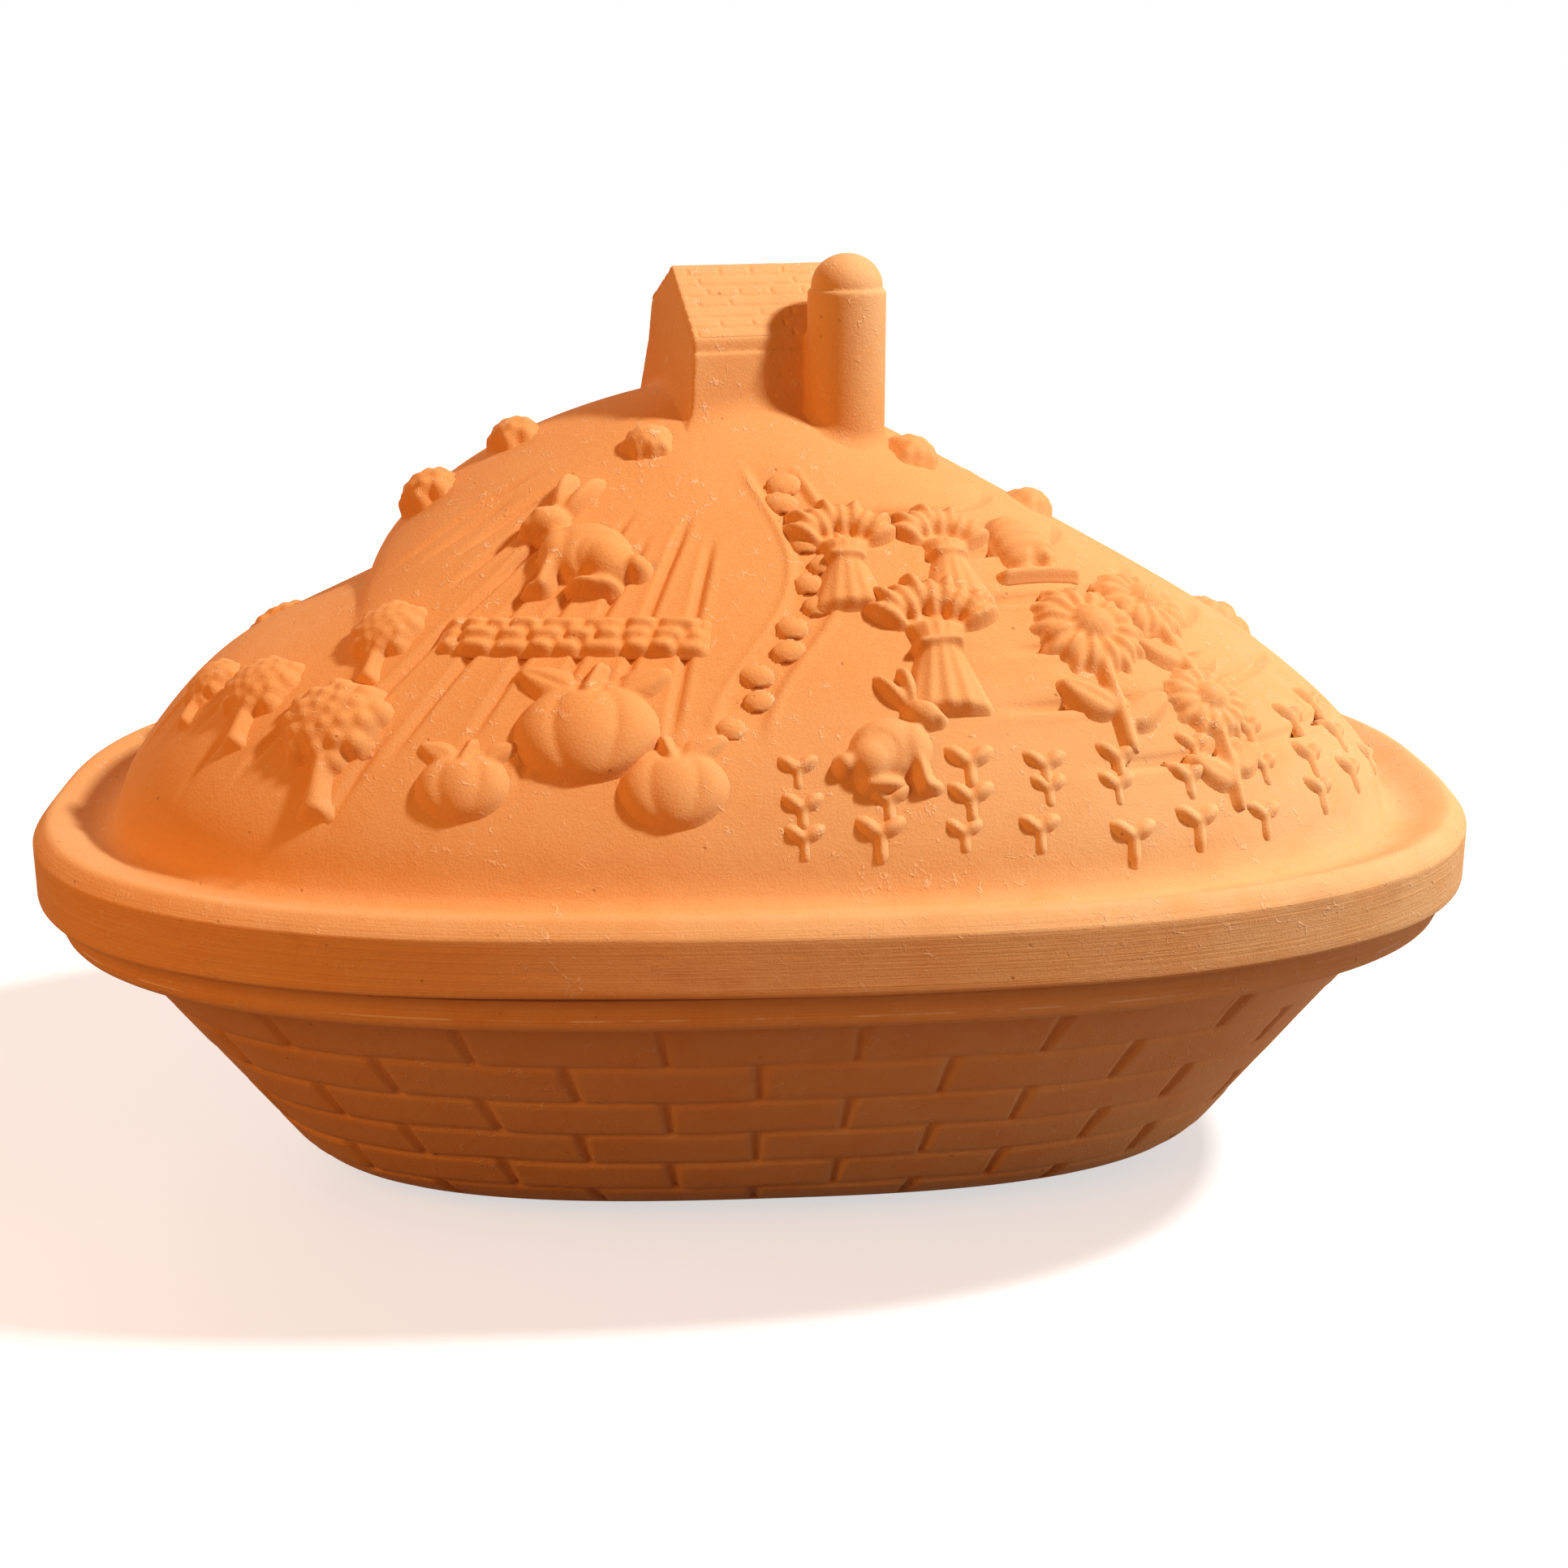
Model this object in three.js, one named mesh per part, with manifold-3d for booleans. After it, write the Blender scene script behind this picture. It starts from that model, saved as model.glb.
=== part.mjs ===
// An oval clay baker in two pieces of fired clay: a dish on a flat foot, and a lift-off lid shaped as a hill
// whose handle is a small barn with a silo. Millimetres, +Z up. The origin is the middle of the foot, +X runs
// along the baker and -Y is its front.

import * as THREE from 'three';
import { mergeVertices } from 'three/addons/utils/BufferGeometryUtils.js';
import Module from 'manifold-3d';

// Plan: every level is the lid's superellipse, drawn in by an inset.
const lidLength = 368;
const lidWidth = 244;
const planPower = 2.65;

// Dish: a sloping wall that rounds into a flat foot, under a rolled rim bead.
const dishHeight = 88.2;
const dishWall = 9;
const dishFloor = 9;
const beadInset = 5;
const beadHeight = 9.5;
const beadOverhang = 9.5;
const beadRound = 3.5;
const wallDrawIn = 53.5;
const footRound = 37;
const mouthRound = 2;

// Bricks: a running bond pressed into the dish's wall, in courses of falling height and brick length. Beds are
// measured down the wall from under the bead, and the bond starts near the middle of the front.
const firstBed = 6.6;
const courseHeight = 16.4;
const courseShrink = 0.9;
const brickCourses = 6;
const brickLength = 45.8;
const brickShrink = 1.25;
const brickShift = -4;
const bedHalfWidth = 1.3;
const bedDepth = 0.8;
const sideHalfWidth = 1.8;
const sideDepth = 1.2;
const sideStart = 1.5;

// Lid rim: it rests on the dish and a lip under it drops into the mouth.
const seatGap = 0.3;
const lipDepth = 6;
const lipClearance = 2;
const lipThickness = 5;
const bandHeight = 14.5;
const bandRound = 4;
const bandFootRound = 1.5;
const crestWidth = 3;
const gutterWidth = 7;
const gutterDepth = 2.5;
const gutterFloor = 6;

// Hill: a dome, part cone and part loaf, with a main mound behind the middle and a low shoulder on the left.
const domeRise = 89;
const coneShare = 0.76;
const conePower = 1.35;
const loafPower = 6;
const moundRise = 20.5;
const moundX = -24;
const moundY = 28;
const moundLeft = 75;
const moundRight = 77;
const moundDepth = 54;
const shoulderRise = 6;
const shoulderX = -142;
const shoulderY = -10;
const shoulderLength = 24;
const shoulderDepth = 55;
const footBlendPower = 8;
const domeWall = 8.5;

// Barn: turned a little towards the front, where a straight roof slope ends in a fascia over an upright wall.
// Behind the ridge the roof breaks at a knee into a steep back that runs down into the hill.
const barnX = 1.6;
const barnY = 12;
const barnTurn = THREE.MathUtils.degToRad(16);
const barnLength = 46;
const barnHalfWidth = 18;
const barnWallHeight = 15.5;
const barnWallFlare = 0.08;
const fasciaHeight = 3.5;
const fasciaReach = 1.2;
const roofRise = 16.7;
const kneeInset = 2;
const kneeDrop = 8.5;
const backLean = 0.34;
const barnWall = 8;
const barnRoofWall = 10.5;

// Silo: a plain tower at the barn's front right corner, with a domed cap on a ledge.
const siloX = 23.4;
const siloY = -5;
const siloRadius = 9.9;
const siloHeight = 37.3;
const capRadius = 8;
const capNeck = 0.8;

// Relief: garden motifs cast on the hill, each a few oval cushions. A cushion is [u, v, half length,
// half width, rise, turn in degrees] in relief units, with u along the slope and v up it.
const reliefUnit = 10;
const reliefSink = 0.3;
const slopeReach = 1.2;
const tree = [
  [0, 0.6, 1.33, 1.22, 0.7, 0],
  [0, -1, 0.33, 0.88, 0.36, 0],
];
const pumpkin = [
  [0, 0, 1.5, 1.1, 0.6, 0],
  [0.15, 1.17, 0.26, 0.5, 0.45, -19],
];
const sheaf = [
  [0, -0.75, 0.88, 1, 0.42, 0],
  [0, 1.1, 1.42, 0.85, 0.5, 0],
];
const sunflower = [
  [0, 0.8, 1.3, 1.3, 0.5, 0],
  [0.04, -1, 0.3, 1.15, 0.3, 0],
];
const rabbit = [
  [0.12, -0.25, 1.15, 0.98, 0.58, -20],
  [-0.9, 0.78, 0.62, 0.5, 0.56, 14],
  [-0.52, 1.7, 0.25, 0.78, 0.46, -9],
  [-0.09, 1.56, 0.25, 0.74, 0.4, -36],
  [1.26, -0.52, 0.31, 0.31, 0.5, 0],
];
const shrub = [[0, 0, 0.84, 0.74, 0.76, 0]];
const hive = [[0, -0.2, 1.05, 1.3, 0.7, 0]];
const stone = [[0, 0, 0.56, 0.52, 0.36, 0]];

// Where the motifs lie: [turn round the lid in degrees, level on the hill, size, 1 for a mirrored one].
// Level 0 is the middle of the lid and 1 the foot of the hill.
const garden = [
  [tree, [[201, 0.86, 0.64, 0], [213, 0.83, 0.8, 1], [228, 0.86, 1, 0], [222, 0.69, 0.72, 1]]],
  [tree, [[150, 0.86, 0.8, 0], [136, 0.84, 0.95, 1], [47, 0.85, 0.95, 0], [34, 0.84, 0.75, 1]]],
  [pumpkin, [[252, 0.82, 1.1, 0], [261, 0.905, 0.82, 1], [243, 0.905, 0.72, 0]]],
  [pumpkin, [[108, 0.8, 1, 1], [97, 0.88, 0.75, 0]]],
  [sheaf, [[284, 0.48, 0.95, 0], [302, 0.48, 0.9, 0], [290, 0.68, 1.12, 1]]],
  [sheaf, [[79, 0.6, 1, 0], [72, 0.8, 0.95, 1]]],
  [sunflower, [[308, 0.72, 1.15, 0], [314, 0.86, 0.9, 1], [323, 0.68, 1, 0]]],
  [sunflower, [[20, 0.84, 0.8, 0], [124, 0.7, 1, 1]]],
  [rabbit, [[238, 0.47, 1.1, 0], [281, 0.85, 0.9, 1], [90, 0.62, 1, 1]]],
  [shrub, [[172, 0.51, 1, 0], [164, 0.38, 0.85, 0], [8, 0.45, 0.75, 0]]],
  [shrub, [[343, 0.25, 0.8, 0], [226, 0.22, 0.7, 1], [52, 0.42, 0.9, 0], [118, 0.44, 0.8, 1]]],
  [hive, [[320, 0.47, 0.85, 0], [62, 0.62, 0.95, 1], [49, 0.62, 0.8, 0]]],
];

// A dry stone wall across the front of the hill.
const wallStart = [229, 0.66];
const wallEnd = [263, 0.65];
const wallStones = 9;

// Facets.
const ovalSectors = 64;
const roundSteps = 4;
const domeRings = 12;
const hollowRings = 8;
const ringSpread = 1.6;
const siloSectors = 28;
const capSteps = 6;
const cushionSectors = [8, 5];
const cushionRings = 4;
const coarseBelow = 8;
const courseSteps = 3600;

const halfLength = lidLength / 2;
const halfWidth = lidWidth / 2;
const seatZ = dishHeight + seatGap;
const bandTopZ = seatZ + bandHeight;
const crestZ = bandTopZ + bandRound;
const domeFootZ = crestZ - gutterDepth;
const domeInset = bandRound + crestWidth + gutterWidth + gutterFloor;
const domeHalfLength = halfLength - domeInset;
const domeHalfWidth = halfWidth - domeInset;

const clayLook = new THREE.MeshStandardMaterial({ color: 0xdd8a4b, roughness: 0.92, metalness: 0 });
const dishLook = new THREE.MeshStandardMaterial({ color: 0xcf7c43, roughness: 0.92, metalness: 0 });

const wasm = await Module();
wasm.setup();

// A point of the unit superellipse at a turn from the right end.
function unitOval(turn) {
  const c = Math.cos(turn);
  const s = Math.sin(turn);
  const reach = (Math.abs(c) ** planPower + Math.abs(s) ** planPower) ** (-1 / planPower);
  return new THREE.Vector2(c * reach, s * reach);
}

// One ring of points with the given half sizes, at a height that may depend on the place.
function ovalRing(halfX, halfY, height) {
  return Array.from({ length: ovalSectors }, (_, i) => {
    const unit = unitOval((2 * Math.PI * i) / ovalSectors);
    const x = unit.x * halfX;
    const y = unit.y * halfY;
    return new THREE.Vector3(x, y, typeof height === 'function' ? height(x, y) : height);
  });
}

// Rings for a profile of (inset, z) points.
function profileRings(profile) {
  return profile.map((p) => ovalRing(halfLength - p.x, halfWidth - p.x, p.y));
}

// A closed skin through rings of points, with a point on the axis at each end.
function ringSkin(startZ, rings, endZ) {
  const positions = [0, 0, startZ];
  rings.flat().forEach((p) => positions.push(p.x, p.y, p.z));
  positions.push(0, 0, endZ);
  const last = positions.length / 3 - 1;
  const at = (ring, i) => 1 + ring * ovalSectors + (i % ovalSectors);
  const faces = [];
  for (let i = 0; i < ovalSectors; i += 1) {
    faces.push(0, at(0, i + 1), at(0, i));
    for (let ring = 0; ring + 1 < rings.length; ring += 1) {
      faces.push(at(ring, i), at(ring, i + 1), at(ring + 1, i + 1));
      faces.push(at(ring, i), at(ring + 1, i + 1), at(ring + 1, i));
    }
    faces.push(last, at(rings.length - 1, i), at(rings.length - 1, i + 1));
  }
  return indexedGeometry(positions, faces);
}

function indexedGeometry(positions, faces) {
  const geometry = new THREE.BufferGeometry();
  geometry.setAttribute('position', new THREE.BufferAttribute(new Float32Array(positions), 3));
  geometry.setIndex(Array.from(faces));
  geometry.computeVertexNormals();
  return geometry;
}

// The arc that rounds a corner of a profile, from the leg before it to the leg after it.
function roundedCorner(before, corner, after, radius) {
  const toBefore = before.clone().sub(corner).normalize();
  const toAfter = after.clone().sub(corner).normalize();
  const halfAngle = Math.acos(THREE.MathUtils.clamp(toBefore.dot(toAfter), -1, 1)) / 2;
  const cut = radius / Math.tan(halfAngle);
  const start = corner.clone().addScaledVector(toBefore, cut);
  const bisector = toBefore.clone().add(toAfter).normalize();
  const centre = corner.clone().addScaledVector(bisector, radius / Math.sin(halfAngle));
  const sweep = Math.PI - 2 * halfAngle;
  const turnSign = Math.sign(toBefore.cross(toAfter));
  return Array.from({ length: roundSteps + 1 }, (_, i) =>
    start.clone().rotateAround(centre, -turnSign * sweep * (i / roundSteps)));
}

// The hill's height over the plan.
function hillHeight(x, y) {
  const level = Math.min(1, (Math.abs(x / domeHalfLength) ** planPower
    + Math.abs(y / domeHalfWidth) ** planPower) ** (1 / planPower));
  const cone = coneShare * (1 - level ** conePower);
  const loaf = (1 - coneShare) * Math.sqrt(1 - level ** loafPower);
  const along = (x - moundX) / (x < moundX ? moundLeft : moundRight);
  const moundSide = x < moundX ? Math.sqrt(Math.max(0, 1 - Math.abs(along) ** 3)) : Math.exp(-along * along);
  const mound = moundRise * moundSide * Math.exp(-(((y - moundY) / moundDepth) ** 2));
  const shoulder = shoulderRise
    * Math.exp(-(((x - shoulderX) / shoulderLength) ** 2) - ((y - shoulderY) / shoulderDepth) ** 2);
  return domeFootZ + domeRise * (cone + loaf) + (mound + shoulder) * (1 - level ** footBlendPower);
}

// The hill's outward normal, from its slope over a short reach each way.
function hillNormal(x, y) {
  const slopeX = (hillHeight(x + slopeReach, y) - hillHeight(x - slopeReach, y)) / (2 * slopeReach);
  const slopeY = (hillHeight(x, y + slopeReach) - hillHeight(x, y - slopeReach)) / (2 * slopeReach);
  return new THREE.Vector3(-slopeX, -slopeY, 1).normalize();
}

// A motif's directions: v is halfway between straight up the slope and upright seen from the front or back.
function motifFrame(x, y) {
  const normal = hillNormal(x, y);
  const upSlope = new THREE.Vector3(0, 0, 1).addScaledVector(normal, -normal.z).normalize();
  const upright = new THREE.Vector3(0, -Math.sign(normal.y) * normal.z, Math.abs(normal.y)).normalize();
  const up = upSlope.add(upright).normalize();
  return { right: up.clone().cross(normal), up };
}

// Levels of the dome's rings, closer together near the steep foot.
function domeLevels(count) {
  return Array.from({ length: count }, (_, i) => 1 - (i / count) ** ringSpread);
}

function toSolid(geometry) {
  const bare = geometry.clone();
  bare.deleteAttribute('normal');
  bare.deleteAttribute('uv');
  const merged = mergeVertices(bare);
  const faces = [];
  for (let i = 0; i < merged.index.count; i += 3) {
    const [a, b, c] = [merged.index.getX(i), merged.index.getX(i + 1), merged.index.getX(i + 2)];
    if (a !== b && b !== c && c !== a) faces.push(a, b, c);
  }
  return new wasm.Manifold(new wasm.Mesh({
    numProp: 3,
    vertProperties: new Float32Array(merged.attributes.position.array),
    triVerts: new Uint32Array(faces),
  }));
}

function toGeometry(solid) {
  const mesh = solid.getMesh();
  return indexedGeometry(mesh.vertProperties, mesh.triVerts);
}

// Where the dish's inside wall stands at a height: parallel to the outside, one wall further in.
const wallTopZ = dishHeight - beadHeight;
const wallTopInset = beadInset + beadOverhang;
const wallSlope = wallDrawIn / wallTopZ;
const wallAcross = dishWall * Math.hypot(1, wallSlope);
const insideInset = (z) => wallTopInset + wallAcross + (wallTopZ - z) * wallSlope;

// The outside of the wall: a straight slope from under the bead, then an arc into the foot.
const wallTop = new THREE.Vector2(wallTopInset, wallTopZ);
const footTurn = Math.atan2(wallTopZ, wallDrawIn);
const slopeRun = Math.hypot(wallTopZ, wallDrawIn) - footRound * Math.tan(footTurn / 2);
const wallRun = slopeRun + footRound * footTurn;

// The (inset, z) point at a distance down the outside of the wall and a depth into it.
function wallPoint(distance, depth) {
  const turn = footTurn - Math.max(0, distance - slopeRun) / footRound;
  const downSlope = new THREE.Vector2(Math.cos(footTurn), -Math.sin(footTurn));
  const slopeInward = new THREE.Vector2(Math.sin(footTurn), Math.cos(footTurn));
  const inward = new THREE.Vector2(Math.sin(turn), Math.cos(turn));
  return wallTop.clone()
    .addScaledVector(downSlope, Math.min(distance, slopeRun))
    .addScaledVector(slopeInward, footRound)
    .addScaledVector(inward, depth - footRound);
}

// Distances of the bed joints down the wall, as far as it reaches.
function bedJoints() {
  const beds = [firstBed];
  for (let course = 0; course < brickCourses; course += 1) {
    beds.push(beds[course] + courseHeight - courseShrink * course);
  }
  return beds.filter((bed) => bed + bedHalfWidth < wallRun);
}

// The outside of the wall from the foot up, with a groove at each bed joint.
function wallProfile(beds) {
  const rows = [[0, 0]];
  for (let i = 0; i <= roundSteps; i += 1) {
    const distance = wallRun - (footRound * footTurn * i) / roundSteps;
    if (beds.every((bed) => Math.abs(distance - bed) > bedHalfWidth)) rows.push([distance, 0]);
  }
  beds.forEach((bed) => rows.push([bed - bedHalfWidth, 0], [bed, bedDepth], [bed + bedHalfWidth, 0]));
  return rows.sort((a, b) => b[0] - a[0]).map(([distance, depth]) => wallPoint(distance, depth));
}

// A point on the outside of the wall at a turn round the dish.
function wallSpot(turn, distance) {
  const row = wallPoint(distance, 0);
  const unit = unitOval(turn);
  return new THREE.Vector3(unit.x * (halfLength - row.x), unit.y * (halfWidth - row.x), row.y);
}

// Turns of a course's side joints. The bricks are counted round the course from the front; a sine gives those
// at the front and back their set length, and an even number in all keeps the bond alike there.
function sideTurns(course, distance) {
  const turnAt = (i) => 2 * Math.PI * (i / courseSteps - 0.25);
  const runs = [0];
  for (let i = 1; i <= courseSteps; i += 1) {
    runs.push(runs[i - 1] + wallSpot(turnAt(i), distance).distanceTo(wallSpot(turnAt(i - 1), distance)));
  }
  const around = runs[courseSteps];
  const bricks = around / (brickLength - brickShrink * course);
  const count = 2 * Math.round(bricks / 2);
  const half = course % 2 === 0 ? 0.5 : 0;
  const places = runs.map((run) => {
    const share = (run - brickShift) / around;
    return count * share + ((bricks - count) / (4 * Math.PI)) * Math.sin(4 * Math.PI * share) + half;
  });
  const joints = places.map((place, i) => i > 0 && Math.floor(place) > Math.floor(places[i - 1]));
  return joints.flatMap((found, i) => (found ? [turnAt(i)] : []));
}

// A side joint: a groove of triangular section down one course.
function sideJoint(turn, top, bottom) {
  const start = wallSpot(turn, top);
  const down = wallSpot(turn, bottom).sub(start);
  const length = down.length();
  down.normalize();
  const side = wallSpot(turn + 1 / courseSteps, top).sub(start);
  side.addScaledVector(down, -side.dot(down)).normalize();
  const mouth = (sideHalfWidth * (sideDepth + sideStart)) / sideDepth;
  const section = new THREE.Shape([
    new THREE.Vector2(0, -sideDepth),
    new THREE.Vector2(mouth, sideStart),
    new THREE.Vector2(-mouth, sideStart),
  ]);
  const geometry = new THREE.ExtrudeGeometry(section, { depth: length, bevelEnabled: false });
  const place = new THREE.Matrix4().makeBasis(side, down.clone().cross(side), down);
  geometry.applyMatrix4(place.setPosition(start));
  return toSolid(geometry);
}

function dishGeometry() {
  const beadLow = new THREE.Vector2(beadInset, wallTopZ);
  const beadHigh = new THREE.Vector2(beadInset, dishHeight);
  const mouth = new THREE.Vector2(insideInset(dishHeight), dishHeight);
  const floorCorner = new THREE.Vector2(insideInset(dishFloor), dishFloor);
  const floorMiddle = new THREE.Vector2(halfWidth, dishFloor);
  const beds = bedJoints();
  const profile = [
    ...wallProfile(beds),
    ...roundedCorner(wallTop, beadLow, beadHigh, beadRound),
    ...roundedCorner(beadLow, beadHigh, mouth, beadRound),
    ...roundedCorner(beadHigh, mouth, floorCorner, mouthRound),
    ...roundedCorner(mouth, floorCorner, floorMiddle, Math.max(footRound - dishWall, mouthRound)),
  ];
  let solid = toSolid(ringSkin(0, profileRings(profile), dishFloor));
  for (let course = 0; course + 1 < beds.length; course += 1) {
    const [top, bottom] = [beds[course], beds[course + 1]];
    sideTurns(course, (top + bottom) / 2).forEach((turn) => {
      solid = solid.subtract(sideJoint(turn, top, bottom));
    });
  }
  return toGeometry(solid);
}

// The lid's rim and dome as one full body, before it is hollowed.
function lidBody() {
  const lipFootZ = seatZ - lipDepth;
  const lipFoot = new THREE.Vector2(insideInset(lipFootZ) + lipClearance, lipFootZ);
  const lipRoot = new THREE.Vector2(insideInset(seatZ) + lipClearance, seatZ);
  const bandFoot = new THREE.Vector2(0, seatZ);
  const bandTop = new THREE.Vector2(0, crestZ);
  const crest = new THREE.Vector2(bandRound + crestWidth, crestZ);
  const gutter = new THREE.Vector2(domeInset - gutterFloor, domeFootZ);
  const profile = [
    lipFoot,
    lipRoot,
    ...roundedCorner(lipRoot, bandFoot, bandTop, bandFootRound),
    ...roundedCorner(bandFoot, bandTop, crest, bandRound),
    crest,
    gutter,
  ];
  const dome = domeLevels(domeRings).map((level) =>
    ovalRing(domeHalfLength * level, domeHalfWidth * level, hillHeight));
  return ringSkin(lipFootZ, [...profileRings(profile), ...dome], hillHeight(0, 0));
}

// The space under the lid: it follows the hill at one wall's depth.
function lidHollow() {
  const openZ = seatZ - lipDepth - seatGap;
  const lipInset = insideInset(seatZ - lipDepth) + lipClearance;
  const hollowInset = Math.max(lipInset + lipThickness, domeInset + domeWall);
  const hollowLength = halfLength - hollowInset;
  const hollowWidth = halfWidth - hollowInset;
  const roof = (x, y) =>
    hillHeight((x * domeHalfLength) / hollowLength, (y * domeHalfWidth) / hollowWidth) - domeWall;
  const dome = domeLevels(hollowRings).map((level) =>
    ovalRing(hollowLength * level, hollowWidth * level, roof));
  return ringSkin(openZ, [ovalRing(hollowLength, hollowWidth, openZ), ...dome], roof(0, 0));
}

// The barn's frame: along the ridge, across it and up.
const alongRidge = new THREE.Vector3(Math.cos(barnTurn), Math.sin(barnTurn), 0);
const acrossRidge = new THREE.Vector3(-Math.sin(barnTurn), Math.cos(barnTurn), 0);
const barnCorner = new THREE.Vector3(barnX, barnY, 0)
  .addScaledVector(alongRidge, -barnLength / 2)
  .addScaledVector(acrossRidge, -barnHalfWidth);
const barnGroundZ = hillHeight(barnCorner.x, barnCorner.y);
const fasciaLowZ = barnGroundZ + barnWallHeight;
const eaveZ = fasciaLowZ + fasciaHeight;
const ridgeZ = eaveZ + roofRise;
const eaveAcross = barnHalfWidth + fasciaReach;
const kneeAcross = eaveAcross - kneeInset;
const kneeZ = ridgeZ - kneeDrop;

// A gable outline, with the back of the barn at positive x, carried along the ridge.
function gableSolid(outline, length) {
  const shape = new THREE.Shape(outline);
  const geometry = new THREE.ExtrudeGeometry(shape, { depth: length, bevelEnabled: false });
  const start = new THREE.Vector3(barnX, barnY, 0).addScaledVector(alongRidge, -length / 2);
  const place = new THREE.Matrix4().makeBasis(acrossRidge, new THREE.Vector3(0, 0, 1), alongRidge);
  geometry.applyMatrix4(place.setPosition(start));
  return toSolid(geometry);
}

function barnSolid() {
  const frontFoot = barnHalfWidth + (fasciaLowZ - domeFootZ) * barnWallFlare;
  const backFootZ = barnGroundZ - barnLength / 2;
  const backFoot = kneeAcross + (kneeZ - backFootZ) * backLean;
  return gableSolid([
    new THREE.Vector2(backFoot, domeFootZ),
    new THREE.Vector2(backFoot, backFootZ),
    new THREE.Vector2(kneeAcross, kneeZ),
    new THREE.Vector2(0, ridgeZ),
    new THREE.Vector2(-eaveAcross, eaveZ),
    new THREE.Vector2(-eaveAcross, fasciaLowZ),
    new THREE.Vector2(-barnHalfWidth, fasciaLowZ),
    new THREE.Vector2(-frontFoot, domeFootZ),
  ], barnLength);
}

// The barn is hollow and open below, under a roof of even thickness.
function barnPocket() {
  const half = barnHalfWidth - barnWall;
  const topZ = ridgeZ - barnRoofWall;
  const shoulderZ = topZ - (roofRise * half) / eaveAcross;
  return gableSolid([
    new THREE.Vector2(half, domeFootZ),
    new THREE.Vector2(half, shoulderZ),
    new THREE.Vector2(0, topZ),
    new THREE.Vector2(-half, shoulderZ),
    new THREE.Vector2(-half, domeFootZ),
  ], barnLength - 2 * barnWall);
}

function siloSolid() {
  const ledgeZ = hillHeight(siloX, siloY - siloRadius) + siloHeight;
  const cap = Array.from({ length: capSteps + 1 }, (_, i) => {
    const angle = (Math.PI / 2) * (i / capSteps);
    return new THREE.Vector2(capRadius * Math.cos(angle), ledgeZ + capNeck + capRadius * Math.sin(angle));
  });
  cap[capSteps].x = 0;
  const profile = [
    new THREE.Vector2(0, domeFootZ),
    new THREE.Vector2(siloRadius, domeFootZ),
    new THREE.Vector2(siloRadius, ledgeZ),
    new THREE.Vector2(capRadius, ledgeZ),
    ...cap,
  ];
  const geometry = new THREE.LatheGeometry(profile, siloSectors);
  geometry.rotateX(Math.PI / 2);
  geometry.translate(siloX, siloY, 0);
  return toSolid(geometry);
}

// One cushion of a motif: an oval, half sunk, square to the slope where it lies.
function cushionSolid([degrees, level, size, mirrored], [u, v, halfLong, halfWide, rise, turn]) {
  const unit = unitOval(THREE.MathUtils.degToRad(degrees));
  const x = unit.x * domeHalfLength * level;
  const y = unit.y * domeHalfWidth * level;
  const { right, up } = motifFrame(x, y);
  const scale = size * reliefUnit;
  const side = mirrored ? -1 : 1;
  const spot = new THREE.Vector3(x, y, 0)
    .addScaledVector(right, side * u * scale)
    .addScaledVector(up, v * scale);
  const normal = hillNormal(spot.x, spot.y);
  spot.setZ(hillHeight(spot.x, spot.y)).addScaledVector(normal, -reliefSink);
  const across = right.clone().addScaledVector(normal, -right.dot(normal)).normalize();
  const coarse = Math.max(halfLong, halfWide) * scale < coarseBelow ? 1 : 0;
  const geometry = new THREE.SphereGeometry(1, cushionSectors[coarse], cushionRings);
  geometry.rotateX(Math.PI / 2);
  geometry.scale(halfLong * scale, halfWide * scale, rise * scale);
  geometry.rotateZ(side * THREE.MathUtils.degToRad(turn));
  const place = new THREE.Matrix4().makeBasis(across, normal.clone().cross(across), normal);
  geometry.applyMatrix4(place.setPosition(spot));
  return toSolid(geometry);
}

// Every motif of the garden and every stone of the wall.
function reliefSolids() {
  const solids = garden.flatMap(([motif, places]) =>
    places.flatMap((place) => motif.map((cushion) => cushionSolid(place, cushion))));
  for (let i = 0; i < wallStones; i += 1) {
    const share = i / (wallStones - 1);
    const place = wallStart.map((start, axis) => start + (wallEnd[axis] - start) * share);
    stone.forEach((cushion) => solids.push(cushionSolid([...place, 1, 0], cushion)));
  }
  return solids;
}

function lidGeometry() {
  const outside = reliefSolids().reduce((body, cushion) => body.add(cushion), toSolid(lidBody()));
  const solid = outside
    .add(barnSolid())
    .add(siloSolid())
    .subtract(toSolid(lidHollow()))
    .subtract(barnPocket());
  return toGeometry(solid);
}

function namedMesh(name, geometry, material) {
  const mesh = new THREE.Mesh(geometry, material);
  mesh.name = name;
  return mesh;
}

const baker = new THREE.Group();
baker.add(namedMesh('dish', dishGeometry(), dishLook));
baker.add(namedMesh('lid', lidGeometry(), clayLook));

export default baker;
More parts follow.
